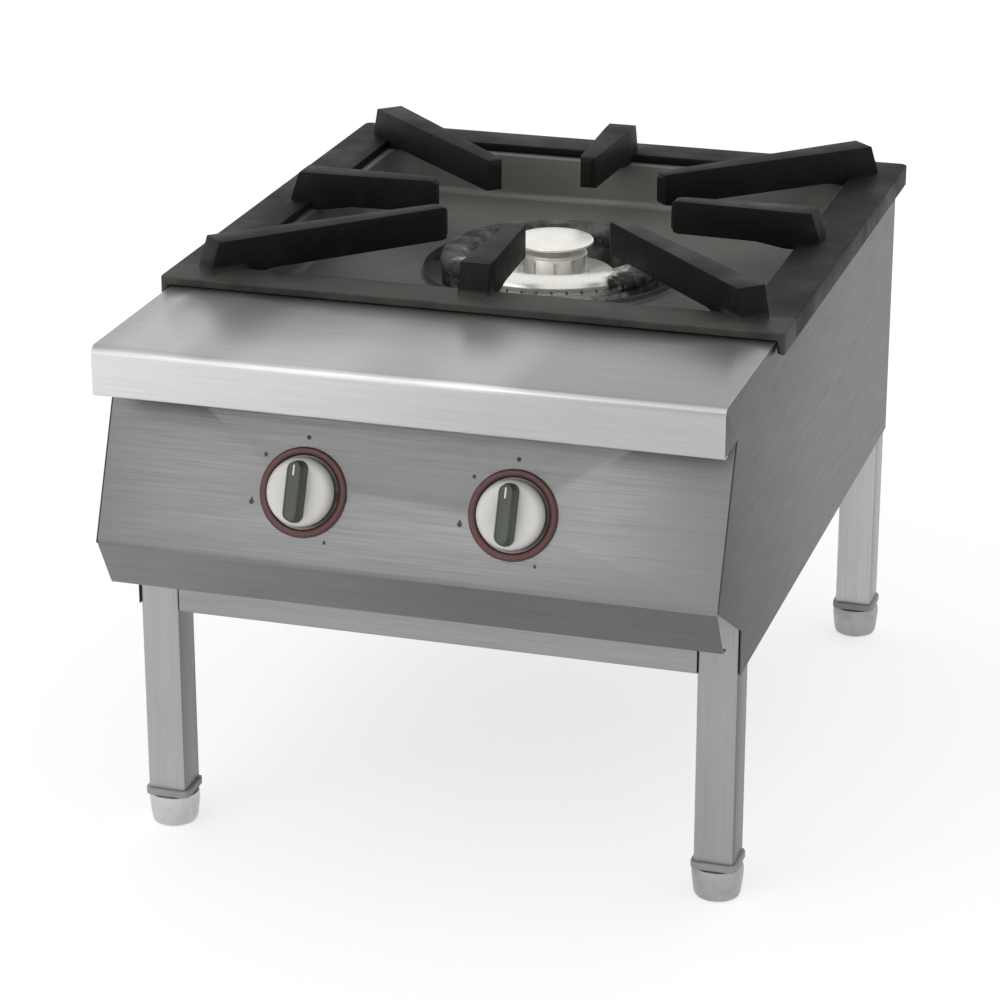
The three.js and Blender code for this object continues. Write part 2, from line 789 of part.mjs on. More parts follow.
function dripTrayGeometry() {
  const outer = trayOpening - 2 * trayPlay;
  const inner = outer - 2 * traySheet;
  const flangeOuter = outer + 2 * trayFlange;
  const flangeBottom = worktopHeight + fit;
  const flange = raised(
    roundedRectangle(flangeOuter, flangeOuter, trayCorner + trayFlange),
    flangeBottom,
    flangeBottom + traySheet,
    2,
  );
  const bowl = raised(
    roundedRectangle(outer, outer, trayCorner),
    trayFloorHeight,
    flangeBottom + traySheet / 2,
    2,
  );
  const hollow = raised(
    roundedRectangle(inner, inner, trayCorner - traySheet),
    trayFloorHeight + traySheet,
    flangeBottom + traySheet + bite,
    2,
  );
  const lip = rod(
    trayHoleRadius + traySheet,
    trayFloorHeight + traySheet / 2,
    trayFloorHeight + trayLipHeight,
    ringFacets,
  );
  const hole = rod(
    trayHoleRadius,
    trayFloorHeight - bite,
    trayFloorHeight + trayLipHeight + bite,
    ringFacets,
  );
  return cut(join(cut(join(flange, bowl), hollow), lip), hole);
}

const tray = piece('drip_tray', dripTrayGeometry(), steel);
tray.position.set(0, frameCentre, 0);

// ---------------------------------------------------------------- burners

const burner = new THREE.Group();
burner.position.set(0, frameCentre, 0);
range.add(burner);
const mouthY = mouthSetback - frameCentre; // in the burner's frame

// A mixing tube along Y: a plate with air holes, a bell, a throat and a bore.
function mixerGeometry(endY) {
  const bell = mouthY + mouthRim;
  const throat = bell + throatPlace;
  const tube = turned([
    [0, endY],
    [mixerRadius - mouthWall, endY],
    [mixerRadius, endY - mouthWall],
    [mixerRadius, bell + bellLength],
    [mouthRadius, bell],
    [mouthRadius, mouthY],
    [injectorRadius + fit, mouthY],
    [injectorRadius + fit, mouthY + mouthPlate],
    [mouthRadius - mouthWall, mouthY + mouthPlate],
    [mouthRadius - mouthWall, bell],
    [mixerThroat, throat],
    [mixerBore, throat + throatTaper],
    [mixerBore, endY - mixerEndWall],
    [0, endY - mixerEndWall],
  ]);
  const airHole = rod(airHoleRadius, mouthY - bite, mouthY + mouthPlate + bite, holeFacets)
    .translate(airHoleCircle, 0, 0);
  return cut(tube, ...aroundAxis(airHole, airHoleCount))
    .rotateX(-Math.PI / 2)
    .translate(0, 0, tubeAxisHeight);
}

// Radial slots, as cutters, for flame ports.
const portCutters = (count, from, to, bottom, top) => aroundAxis(
  block([from, -portWidth / 2, bottom], [to, portWidth / 2, top]),
  count,
);

function outerBurnerGeometry() {
  const ring = turnedRing([
    [outerRingInner + ringFoot, outerRingBottom],
    [outerRingOuter - ringFoot, outerRingBottom],
    [outerRingOuter, outerRingBottom + ringFootHeight],
    [outerRingOuter, outerRingTop - ringStep],
    [outerRingOuter - ringStep, outerRingTop - ringStep],
    [outerRingOuter - ringStep, outerRingTop],
    [outerRingInner + ringStep, outerRingTop],
    [outerRingInner + ringStep, outerRingTop - ringStep],
    [outerRingInner, outerRingTop - ringStep],
    [outerRingInner, outerRingBottom + ringFootHeight],
  ], ringFacets);
  const arm = block(
    [armInnerRadius, -armWidth / 2, innerBaseBottom - fit - armHeight],
    [outerRingInner + ringFoot + bite, armWidth / 2, innerBaseBottom - fit],
  );
  const meanRadius = (outerRingInner + outerRingOuter) / 2;
  const elbowY = -Math.sqrt(meanRadius ** 2 - outerMixerOffset ** 2);
  const elbow = rod(elbowUpRadius, tubeAxisHeight, outerRingBottom + ringFoot + bite)
    .translate(outerMixerOffset, elbowY, 0);
  const mixer = mixerGeometry(elbowY + mixerBore).translate(outerMixerOffset, 0, 0);
  return join(ring, ...aroundAxis(arm, armCount, -Math.PI / 2), elbow, mixer);
}

function outerCapGeometry() {
  const bottom = outerRingTop + fit;
  const cap = turnedRing([
    [outerCapInner, bottom],
    [outerCapOuter, bottom],
    [outerCapOuter, bottom + capSide],
    [outerCapOuter - capShoulder, outerCapTop - edgeBreak],
    [outerCapOuter - capCrown, outerCapTop],
    [outerCapInner + capCrown, outerCapTop],
    [outerCapInner + capShoulder, outerCapTop - edgeBreak],
    [outerCapInner, bottom + capSide],
  ], ringFacets);
  const ports = portCutters(
    outerPortCount,
    outerCapInner - portReach,
    outerCapOuter + portReach,
    bottom - bite,
    bottom + portHeight,
  );
  return cut(cap, ...ports);
}

function innerBurnerGeometry() {
  const baseTop = innerBaseBottom + innerBaseHeight;
  const head = turned([
    [0, tubeAxisHeight],
    [stemRadius - stemTaper, tubeAxisHeight],
    [stemRadius, tubeAxisHeight + stemTaperHeight],
    [stemRadius, innerBaseBottom],
    [innerBaseRadius, innerBaseBottom],
    [innerBaseRadius, baseTop - innerBaseEdge],
    [innerBaseRadius - innerBaseEdge, baseTop],
    [innerHeadRadius + headFillet, baseTop],
    [innerHeadRadius, baseTop + headFillet],
    [innerHeadRadius, innerHeadTop],
    [0, innerHeadTop],
  ], knobFacets);
  const ports = portCutters(
    innerPortCount,
    innerHeadRadius - portReach,
    innerHeadRadius + portReach,
    baseTop + headPortSill,
    innerHeadTop - portHeight,
  );
  return join(cut(head, ...ports), mixerGeometry(stemRadius - stemTaper));
}

function innerCapGeometry() {
  const bottom = innerHeadTop + fit;
  const top = bottom + innerCapHeight;
  return turned([
    [0, bottom],
    [innerHeadRadius - innerCapSeat, bottom],
    [innerHeadRadius - innerCapSeat, bottom + innerCapRim - edgeBreak],
    [innerCapRadius, bottom + innerCapRim],
    [innerCapRadius, top - innerCapRim],
    [innerCapRadius - innerCapSeat, top - innerCapSeat],
    [innerCapRadius * innerCapDome, top - edgeBreak],
    [0, top],
  ], knobFacets);
}

piece('outer_burner', outerBurnerGeometry(), castIron, burner);
piece('outer_burner_cap', outerCapGeometry(), castIron, burner);
piece('inner_burner', innerBurnerGeometry(), aluminium, burner);
piece('inner_burner_cap', innerCapGeometry(), aluminium, burner);

// Air shutters and injectors stand at the two mouths.
function shutterGeometry() {
  const back = mouthY - fit;
  const disc = rod(mouthRadius, back - shutterThickness, back);
  const tab = block(
    [-shutterTabWidth / 2, mouthRadius - mouthWall, back - shutterThickness],
    [shutterTabWidth / 2, mouthRadius + shutterTabReach, back],
  );
  const airHole = rod(airHoleRadius, back - shutterThickness - bite, back + bite, holeFacets)
    .translate(airHoleCircle, 0, 0);
  const bore = rod(
    injectorRadius + fit,
    back - shutterThickness - bite,
    back + bite,
    smallFacets,
  );
  return cut(join(disc, tab), bore, ...aroundAxis(airHole, airHoleCount))
    .rotateX(-Math.PI / 2)
    .translate(0, 0, tubeAxisHeight);
}

const injectorHexEnd = mouthY - 2 * fit - shutterThickness;
const injectorStart = injectorHexEnd - injectorLength;

function injectorGeometry() {
  const hexStart = injectorHexEnd - injectorHexLength;
  const plateInside = mouthY + mouthPlate;
  const nozzle = turned([
    [0, injectorHexEnd - bite],
    [injectorRadius, injectorHexEnd - bite],
    [injectorRadius, plateInside],
    [injectorRadius - edgeBreak, plateInside + edgeBreak],
    [nozzleRadius, plateInside + nozzleLength],
    [0, plateInside + nozzleLength],
  ], smallFacets);
  const hex = hexBar(injectorHexRadius, hexStart, injectorHexEnd);
  const nut = hexBar(injectorNutRadius, injectorStart, hexStart + bite);
  return join(hex, nozzle, nut).rotateX(-Math.PI / 2).translate(0, 0, tubeAxisHeight);
}

for (const [ring, across] of [['outer', outerMixerOffset], ['inner', 0]]) {
  piece(`air_shutter_${ring}`, shutterGeometry(), galvanised, burner).position.x = across;
  piece(`injector_${ring}`, injectorGeometry(), brass, burner).position.x = across;
}

// Two channels across the upper rails carry the castings.
function bracketGeometry(centreY, top) {
  const half = bracketWidth / 2;
  const section = foldedSheet([
    new THREE.Vector2(centreY + half, upperRailTop + fit),
    new THREE.Vector2(centreY + half, top),
    new THREE.Vector2(centreY - half, top),
    new THREE.Vector2(centreY - half, upperRailTop + fit),
  ], bracketSheet);
  return runAcross(section, bracketEnds - legOuter, legOuter - bracketEnds);
}

const frontBracketTop = tubeAxisHeight - mixerRadius - fit;
const rearBracketTop = outerRingBottom - fit;
piece('burner_bracket_front', bracketGeometry(frontBracketSetback, frontBracketTop), galvanised);
piece('burner_bracket_rear', bracketGeometry(frameCentre + rearBracketOffset, rearBracketTop), galvanised);

// ---------------------------------------------------------------- gas train

const bonnetFace = -bonnetDepth;
const valveBack = -(valveBlockDepth + valveBlockLength);
const outletDepth = (valveBack - valveBlockDepth) / 2;

function valveGeometry() {
  const halfWidth = valveBlockWidth / 2;
  const halfHeight = valveBlockHeight / 2;
  const bonnet = rod(bonnetRadius, bonnetFace - bonnetLength, bonnetFace);
  const barrel = rod(valveRadius, -valveBlockDepth - bite, bonnetFace - bonnetLength + bite);
  const housing = block(
    [-halfWidth, -halfHeight, valveBack],
    [halfWidth, halfHeight, -valveBlockDepth],
  );
  const saddle = block(
    [-halfWidth, -pipeDrop, -pipeDepth - saddleLength / 2],
    [halfWidth, -saddleTop, -pipeDepth + saddleLength / 2],
  );
  const outlet = rod(outletRadius, outletRoot, outletReach)
    .rotateX(-Math.PI / 2)
    .translate(0, 0, outletDepth);
  const nutTop = outletReach - edgeBreak;
  const nut = hexBar(outletRadius + 2, nutTop - outletNut, nutTop)
    .rotateX(-Math.PI / 2)
    .translate(0, 0, outletDepth);
  const magnet = rod(magnetRadius, valveBack - magnetLength, valveBack + bite);
  const bore = rod(spindleRadius + fit, -spindleInside - valveSocket, bonnetFace + bite);
  const pipe = rod(pipeRadius + fit, -halfWidth - bite, halfWidth + bite)
    .rotateY(Math.PI / 2)
    .translate(0, -pipeDrop, -pipeDepth);
  return cut(join(bonnet, barrel, housing, saddle, outlet, nut, magnet), bore, pipe);
}

// The spindle's end is flattened on one side, and the knob's socket with it.
const spindleFlat = spindleRadius * 0.4;
const spindleFlatStart = spindleReach - spindleFlatLength;

function spindleGeometry() {
  const shaft = rod(spindleRadius, -spindleInside, spindleReach - fit);
  const flat = block(
    [spindleFlat, -spindleHoleRadius, spindleFlatStart],
    [spindleHoleRadius, spindleHoleRadius, spindleReach + bite],
  );
  return cut(shaft, flat);
}

function knobGeometry() {
  const base = knobStandoff;
  const face = knobStandoff + knobSkirtHeight;
  const skirt = turned([
    [0, base],
    [knobRadius - edgeBreak, base],
    [knobRadius, base + edgeBreak],
    [knobRadius - knobDraft, face - 2 * knobShoulder],
    [knobRadius - knobShoulder, face - knobShoulder / 2],
    [knobRadius - knobCrown, face],
    [0, face],
  ], knobFacets);
  return cut(skirt, rod(spindleRadius + fit, base - bite, face + bite));
}

// The grip: a bar across the knob with tapered flanks, its socket on the spindle.
function gripGeometry() {
  const bottom = knobStandoff + knobSkirtHeight + fit;
  const bar = new THREE.ExtrudeGeometry(roundedRectangle(gripWidth, gripLength, gripWidth / 2 - 1), {
    depth: gripHeight - gripCrown,
    bevelThickness: gripCrown,
    bevelSize: gripTaper,
    bevelOffset: -gripTaper,
    bevelSegments: 2,
    curveSegments: 2,
  }).translate(0, 0, bottom);
  const foot = block(
    [-gripWidth, -gripLength, bottom - gripCrown - bite],
    [gripWidth, gripLength, bottom],
  );
  const socket = cut(
    rod(spindleRadius + fit, bottom - bite, spindleReach),
    block(
      [spindleFlat + fit, -spindleHoleRadius, spindleFlatStart - fit],
      [spindleHoleRadius, spindleHoleRadius, spindleReach + bite],
    ),
  );
  return cut(bar, foot, socket);
}

function bezelGeometry() {
  return turnedRing([
    [bezelInner, fit],
    [bezelOuter, fit],
    [bezelOuter, fit + bezelThickness - edgeBreak],
    [bezelOuter - edgeBreak, fit + bezelThickness],
    [bezelInner, fit + bezelThickness],
  ], knobFacets);
}

function collarGeometry() {
  const back = -collarDepth - collarThickness;
  return cut(
    rod(collarRadius, back, -collarDepth),
    rod(spindleRadius + fit, back - bite, -collarDepth + bite),
  );
}

for (const [side, sign] of sides) {
  const control = new THREE.Group();
  control.applyMatrix4(knobFrame(sign));
  range.add(control);
  piece(`gas_valve_${side}`, valveGeometry(), brass, control);
  piece(`spindle_${side}`, spindleGeometry(), brightSteel, control);
  piece(`push_collar_${side}`, collarGeometry(), brass, control);
  piece(`knob_${side}`, knobGeometry(), silverPlastic, control);
  piece(`knob_grip_${side}`, gripGeometry(), blackPlastic, control);
  piece(`bezel_${side}`, bezelGeometry(), redPlastic, control);
}

// Manifold across the front, an elbow, and the inlet pipe to the back.
const elbowStart = inletAcross - elbowRadius - elbowStraight;
const elbowEnd = manifoldPlace.x + elbowRadius + elbowStraight;

function manifoldGeometry() {
  const right = elbowStart + pipeEngagement;
  const plugEnd = manifoldLeft + endPlugLength;
  const boreEnd = manifoldLeft + endPlugFloor;
  const tube = turned([
    [0, manifoldLeft],
    [pipeRadius + endPlugWall, manifoldLeft],
    [pipeRadius + endPlugWall, plugEnd],
    [pipeRadius, plugEnd],
    [pipeRadius, right],
    [pipeBore, right],
    [pipeBore, boreEnd],
    [0, boreEnd],
  ]);
  return tube.rotateY(Math.PI / 2).translate(0, manifoldPlace.x, manifoldPlace.y);
}

function elbowGeometry() {
  const { x: y, y: z } = manifoldPlace;
  const bend = new THREE.CurvePath();
  const point = (px, py) => new THREE.Vector3(px, py, z);
  const corner = point(inletAcross, y);
  const arcStart = point(inletAcross - elbowRadius, y);
  const arcEnd = point(inletAcross, y + elbowRadius);
  bend.add(new THREE.LineCurve3(point(elbowStart, y), arcStart));
  bend.add(new THREE.QuadraticBezierCurve3(arcStart, corner, arcEnd));
  bend.add(new THREE.LineCurve3(arcEnd, point(inletAcross, elbowEnd)));
  const inner = pipeRadius + fit;
  const section = new THREE.Shape().absarc(0, 0, inner + elbowWall, 0, 2 * Math.PI);
  section.holes.push(new THREE.Path().absarc(0, 0, inner, 0, 2 * Math.PI));
  return new THREE.ExtrudeGeometry(section, {
    steps: 5, bevelEnabled: false, curveSegments: roundFacets / 2, extrudePath: bend,
  });
}

function inletPipeGeometry() {
  const front = elbowEnd - pipeEngagement;
  const rear = bodyDepth + inletReach;
  const nut = backOuter + fit;
  const tube = turnedRing([
    [pipeBore, front],
    [pipeRadius, front],
    [pipeRadius, rear - edgeBreak],
    [pipeRadius - edgeBreak, rear],
    [pipeBore, rear],
  ]);
  const locknut = cut(
    hexBar(locknutRadius, nut, nut + locknutHeight),
    rod(pipeRadius - bite, nut - bite, nut + locknutHeight + bite),
  );
  return join(tube, locknut)
    .rotateX(-Math.PI / 2)
    .translate(inletAcross, 0, manifoldPlace.y);
}

piece('gas_manifold', manifoldGeometry(), galvanised);
piece('gas_inlet_elbow', elbowGeometry(), galvanised);
piece('gas_inlet_pipe', inletPipeGeometry(), galvanised);

// Two stands on the front rail carry the manifold in clamp rings.
function manifoldStandGeometry() {
  const { x: y, y: z } = manifoldPlace;
  const seat = railBottom + railHeight + fit;
  const clampRadius = pipeRadius + fit + clampWall;
  const footFront = legSetback + (railDepth - standFoot) / 2;
  const footRear = footFront + standFoot;
  const plate = new THREE.Shape([
    new THREE.Vector2(footFront, seat),
    new THREE.Vector2(footRear, seat),
    new THREE.Vector2(footRear, seat + standSheet),
    new THREE.Vector2(footFront + 2 * standSheet, seat + standSheet),
    new THREE.Vector2(y + clampRadius / 2, z - clampRadius / 2),
    new THREE.Vector2(y - clampRadius / 2, z - clampRadius / 2),
    new THREE.Vector2(footFront, seat + standSheet),
  ]);
  const half = standWidth / 2;
  const clamp = rod(clampRadius, -half, half).rotateY(Math.PI / 2).translate(0, y, z);
  const bore = rod(pipeRadius + fit, -half - bite, half + bite)
    .rotateY(Math.PI / 2)
    .translate(0, y, z);
  return cut(join(runAcross(plate, -half, half), clamp), bore);
}

const standPlaces = {
  left: manifoldLeft + endPlugLength + standWidth / 2 + standGap,
  right: elbowStart - standWidth / 2 - standGap,
};
for (const [side] of sides) {
  piece(`manifold_stand_${side}`, manifoldStandGeometry(), galvanised).position.x = standPlaces[side];
}

// Supply tubes rise from the valves and run level into the injectors.
function fromPanel(sign, x, y, z) {
  return new THREE.Vector3(x, y, z).applyMatrix4(knobFrame(sign));
}

function supplyTubeGeometry(sign, injectorAcross) {
  const start = fromPanel(sign, 0, outletReach + fit, outletDepth);
  const rise = fromPanel(sign, 0, outletReach + 12, outletDepth);
  const endY = frameCentre + injectorStart - fit;
  const reach = endY - rise.y;
  const drift = injectorAcross - rise.x;
  return tubeAlong([
    start.toArray(),
    rise.toArray(),
    [rise.x + 0.12 * drift, rise.y + 0.22 * reach, tubeAxisHeight + 5],
    [rise.x + 0.5 * drift, rise.y + 0.42 * reach, tubeAxisHeight + 7],
    [rise.x + 0.88 * drift, rise.y + 0.62 * reach, tubeAxisHeight + 3],
    [injectorAcross, endY - 0.18 * reach, tubeAxisHeight],
    [injectorAcross, endY, tubeAxisHeight],
  ], supplyRadius, 8, 13);
}

piece('supply_tube_outer', supplyTubeGeometry(-1, outerMixerOffset), copper);
piece('supply_tube_inner', supplyTubeGeometry(1, 0), copper);

// ---------------------------------------------------------------- pilot and flame sensor

const pilotGroup = new THREE.Group();
pilotGroup.position.copy(burner.position);
pilotGroup.rotation.z = pilotBearing - Math.PI / 2;
range.add(pilotGroup);
const pilotPlateTop = outerRingBottom - fit;

// The plate hangs under the outer ring; in its frame +X points away from the burner axis.
function pilotPlateGeometry() {
  const plate = block(
    [pilotCircle - plateMargin, -plateMargin, pilotPlateTop - pilotPlate],
    [outerRingInner + plateSeat, probeOffset + plateMargin, pilotPlateTop],
  );
  const plateHole = (radius) => rod(
    radius + fit,
    pilotPlateTop - pilotPlate - bite,
    pilotPlateTop + bite,
    smallFacets,
  );
  const pilotHole = plateHole(pilotRadius).translate(pilotCircle, 0, 0);
  const probeHole = plateHole(probeRadius).translate(pilotCircle, probeOffset, 0);
  return cut(plate, pilotHole, probeHole);
}

function pilotGeometry() {
  const collar = pilotPlateTop + fit;
  return turned([
    [0, pilotBottom],
    [pilotRadius, pilotBottom],
    [pilotRadius, collar],
    [pilotRadius + pilotCollar, collar],
    [pilotRadius + pilotCollar, collar + pilotCollarHeight],
    [pilotRadius, collar + pilotCollarHeight],
    [pilotRadius, pilotTop - pilotHeadHeight],
    [pilotRadius + pilotHead, pilotTop - pilotHeadHeight],
    [pilotRadius + pilotHead, pilotTop - pilotHead],
    [pilotRadius, pilotTop],
    [0, pilotTop],
  ], smallFacets).translate(pilotCircle, 0, 0);
}

piece('pilot_plate', pilotPlateGeometry(), galvanised, pilotGroup);
piece('pilot_burner', pilotGeometry(), brass, pilotGroup);

// The probe and its lead are one piece, from the flame to the magnet unit of the valve.
function probeGeometry() {
  const at = new THREE.Vector2(pilotCircle, probeOffset)
    .rotateAround(new THREE.Vector2(), pilotGroup.rotation.z)
    .add(new THREE.Vector2(0, frameCentre));
  const collar = pilotPlateTop + fit;
  const low = pilotPlateTop - probeTail;
  const probe = turned([
    [0, low],
    [probeRadius, low],
    [probeRadius, collar],
    [probeRadius + pilotHead, collar],
    [probeRadius + pilotHead, collar + pilotCollarHeight],
    [probeRadius, collar + pilotCollarHeight],
    [probeRadius, probeTop - pilotHead],
    [probeRadius - pilotHead, probeTop],
    [0, probeTop],
  ], smallFacets).translate(at.x, at.y, 0);
  const end = fromPanel(1, 0, 0, valveBack - magnetLength - fit);
  const leave = fromPanel(1, 0, 0, valveBack - magnetLength - 10);
  const lead = tubeAlong([
    [at.x, at.y, low + 2],
    [at.x, at.y, low - 6],
    [at.x + 6, at.y - 22, tubeAxisHeight - 4],
    [at.x + 12, at.y - 90, tubeAxisHeight - 8],
    [leave.x + 14, mouthSetback, tubeAxisHeight - 20],
    [leave.x + 6, leave.y + 30, leave.z - 6],
    leave.toArray(),
    end.toArray(),
  ], leadRadius, 6, 15);
  return join(probe, lead);
}

piece('flame_sensor', probeGeometry(), copper);

function pilotTubeGeometry() {
  const at = new THREE.Vector2(pilotCircle, 0)
    .rotateAround(new THREE.Vector2(), pilotGroup.rotation.z)
    .add(new THREE.Vector2(0, frameCentre));
  const port = fromPanel(1, -valveBlockWidth / 2 - fit, 0, outletDepth);
  const leave = fromPanel(1, -valveBlockWidth / 2 - 9, 0, outletDepth);
  return tubeAlong([
    [at.x, at.y, pilotBottom - fit],
    [at.x, at.y, pilotBottom - 5],
    [at.x - 4, at.y - 14, pilotBottom - 13],
    [at.x - 8, at.y - 60, pilotBottom - 15],
    [at.x - 2, mouthSetback + 10, pilotBottom - 15],
    [leave.x - 6, leave.y + 45, leave.z + 18],
    [leave.x - 5, leave.y + 12, leave.z + 2],
    leave.toArray(),
    port.toArray(),
  ], pilotTubeRadius, 6, 15);
}

piece('pilot_tube', pilotTubeGeometry(), aluminium);

// ---------------------------------------------------------------- origin

range.updateMatrixWorld(true);
const extent = new THREE.Box3().setFromObject(range, true);
range.position.set(
  -(extent.min.x + extent.max.x) / 2,
  -(extent.min.y + extent.max.y) / 2,
  -extent.min.z,
);
range.updateMatrixWorld(true);

export default range;
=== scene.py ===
"""Stock pot range: the finished look of its pieces, laid out as an add-on.

Every length is in metres in the range's own frame: X to the cook's right, Y to the back,
Z up from the floor.
"""

import json
import math

import bmesh
import bpy
from mathutils import Matrix, Vector

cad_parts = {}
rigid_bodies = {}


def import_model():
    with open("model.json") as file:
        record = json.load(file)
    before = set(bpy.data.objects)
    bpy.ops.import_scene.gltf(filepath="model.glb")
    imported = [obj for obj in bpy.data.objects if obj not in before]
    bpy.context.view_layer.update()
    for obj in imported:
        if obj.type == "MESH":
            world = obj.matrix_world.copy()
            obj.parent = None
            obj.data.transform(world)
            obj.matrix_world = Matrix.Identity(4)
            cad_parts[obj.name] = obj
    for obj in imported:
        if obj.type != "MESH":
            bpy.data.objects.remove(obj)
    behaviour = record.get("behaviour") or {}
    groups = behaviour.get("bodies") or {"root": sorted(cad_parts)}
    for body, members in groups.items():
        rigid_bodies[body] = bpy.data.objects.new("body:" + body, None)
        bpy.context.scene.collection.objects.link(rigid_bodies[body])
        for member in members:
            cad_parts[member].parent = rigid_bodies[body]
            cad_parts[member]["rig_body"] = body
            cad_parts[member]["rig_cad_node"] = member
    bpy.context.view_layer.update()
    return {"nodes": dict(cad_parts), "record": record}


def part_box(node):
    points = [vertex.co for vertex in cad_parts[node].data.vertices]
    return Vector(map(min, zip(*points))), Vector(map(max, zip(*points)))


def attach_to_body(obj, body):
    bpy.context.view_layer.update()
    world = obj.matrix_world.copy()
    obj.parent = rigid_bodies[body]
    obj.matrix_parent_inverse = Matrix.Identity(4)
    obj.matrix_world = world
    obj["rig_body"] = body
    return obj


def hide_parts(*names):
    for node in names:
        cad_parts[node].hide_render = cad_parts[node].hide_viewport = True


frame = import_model()

bl_info = {
    "name": "Stock Pot Range",
    "version": (1, 0, 0),
    "blender": (4, 5, 0),
    "location": "View3D > Sidebar > Stock Pot Range",
    "description": "Builds the visible pieces, finishes and stage of a gas stock pot range",
    "category": "Object",
}

RECORD = frame["record"]
NODES = frame["nodes"]
BODY_OF = {
    node: body
    for body, nodes in RECORD["behaviour"]["bodies"].items()
    for node in nodes
}
SIDES = ("left", "right")
ROWS = ("front", "rear")

SUPPORT_LOW, SUPPORT_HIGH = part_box("pan_support")
WORKTOP_LOW, WORKTOP_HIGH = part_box("worktop")
PANEL_LOW, PANEL_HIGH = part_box("control_panel")
BURNER_Y = (SUPPORT_LOW.y + SUPPORT_HIGH.y) / 2
PANEL_TILT = math.radians(22)

# Places nearer than this count as the same.
CLOSE = 1e-5

# What a duller or dirtier part of a surface, or a part with painted shade, is multiplied by.
DIM = (0.68, 0.68, 0.68)

WHITE = (1, 1, 1, 1)

# Foot, rim and top of a print over the panel.
PRINT_HEIGHTS = (0.0001, 0.0002, 0.00025)


# ------------------------------------------------------------------ modelling


def leave_edit_mode():
    if bpy.context.mode != "OBJECT":
        bpy.ops.object.mode_set(mode="OBJECT")


def nothing_selected():
    leave_edit_mode()
    bpy.ops.object.select_all(action="DESELECT")


def only(piece):
    """Makes one piece the active and only selected one."""
    nothing_selected()
    piece.select_set(True)
    bpy.context.view_layer.objects.active = piece


def edit(piece):
    only(piece)
    bpy.ops.object.mode_set(mode="EDIT")
    bpy.ops.mesh.select_mode(type="VERT")
    everything()


def call_it(piece, name):
    piece.name = name
    piece.data.name = name
    return piece


def named(name):
    """Names the primitive just added, and puts its place in its mesh."""
    bpy.ops.object.transform_apply(location=True, rotation=True, scale=True)
    return call_it(bpy.context.object, name)


def pick(kind, test):
    """In edit mode, selects the verts, edges or faces that pass a test."""
    bpy.ops.mesh.select_mode(type=kind)
    bpy.ops.mesh.select_all(action="DESELECT")
    mesh = bmesh.from_edit_mesh(bpy.context.object.data)
    items = {"VERT": mesh.verts, "EDGE": mesh.edges, "FACE": mesh.faces}[kind]
    for item in items:
        if test(item):
            item.select_set(True)
    bmesh.update_edit_mesh(bpy.context.object.data)


def middle(edge):
    return (edge.verts[0].co + edge.verts[1].co) / 2


def runs_along(edge, axis):
    """True where an edge lies along X, Y or Z, given as 0, 1 or 2."""
    run = (edge.verts[1].co - edge.verts[0].co).normalized()
    return abs(run[axis]) > 0.999


def upright(edge):
    return runs_along(edge, 2)


def faces_up(face):
    return face.normal.z > 0.9


def faces_down(face):
    return face.normal.z < -0.9


def everything():
    bpy.ops.mesh.select_all(action="SELECT")


def pull(x, y, z):
    """Extrudes what is picked."""
    bpy.ops.mesh.extrude_region_move(TRANSFORM_OT_translate={"value": (x, y, z)})


def grow(value, centre):
    """Scales what is picked about a centre."""
    bpy.ops.transform.resize(value=value, center_override=centre)


def turn_outward():
    everything()
    bpy.ops.mesh.normals_make_consistent(inside=False)


def block(name, low, high):
    nothing_selected()
    low, high = Vector(low), Vector(high)
    bpy.ops.mesh.primitive_cube_add(size=1, location=(low + high) / 2, scale=high - low)
    return named(name)


def turn(name, profile, sides, at=(0.0, 0.0), closed=False):
    """Turns a profile of (radius, height) about an upright axis, ring by ring."""
    x, y = at
    (radius, height), *rest = profile
    nothing_selected()
    bpy.ops.mesh.primitive_circle_add(
        vertices=sides, radius=radius, location=(x, y, height), fill_type="NOTHING"
    )
    piece = named(name)
    edit(piece)
    if closed:
        rest = [*rest, profile[0]]
    for next_radius, next_height in rest:
        pull(0, 0, next_height - height)
        wider = next_radius / radius
        grow((wider, wider, 1), (x, y, next_height))
        radius, height = next_radius, next_height
    if closed:
        everything()
        bpy.ops.mesh.remove_doubles(threshold=1e-6)
    else:
        bpy.ops.mesh.edge_face_add()
        first = profile[0][1]
        pick("EDGE", lambda e: e.is_boundary and abs(middle(e).z - first) < CLOSE)
        bpy.ops.mesh.edge_face_add()
    turn_outward()
    leave_edit_mode()
    return piece


def fold(name, left, right, line):
    """Folds a sheet across X: one edge, extruded along a line of (y, z) points."""
    nothing_selected()
    bpy.ops.mesh.primitive_plane_add(size=1)
    piece = named(name)
    edit(piece)
    pick("VERT", lambda v: v.co.y > 0)
    bpy.ops.mesh.delete(type="VERT")
    everything()
    (y, z), *rest = line
    bpy.ops.transform.translate(value=((left + right) / 2, y + 0.5, z))
    grow((right - left, 1, 1), ((left + right) / 2, y, z))
    for next_y, next_z in rest:
        pull(0, next_y - y, next_z - z)
        y, z = next_y, next_z
    leave_edit_mode()
    return piece


def round_edges(test, radius, segments):
    """In edit mode, rounds the edges that pass a test."""
    pick("EDGE", test)
    bpy.ops.mesh.bevel(offset=radius, segments=segments)


def bend(piece, place, radius, segments):
    """Rounds the fold that runs across X through a (y, z) place."""

    def in_fold(edge):
        _, y, z = middle(edge)
        return runs_along(edge, 0) and max(abs(y - place[0]), abs(z - place[1])) < CLOSE

    edit(piece)
    round_edges(in_fold, radius, segments)
    leave_edit_mode()


def round_corners(piece, radius):
    """Rounds the upright edges, and stays in edit mode."""
    edit(piece)
    round_edges(upright, radius, 8)


def run_modifier(piece, kind, **settings):
    only(piece)
    modifier = piece.modifiers.new(kind.title(), kind)
    for key, value in settings.items():
        setattr(modifier, key, value)
    bpy.ops.object.modifier_apply(modifier=modifier.name)


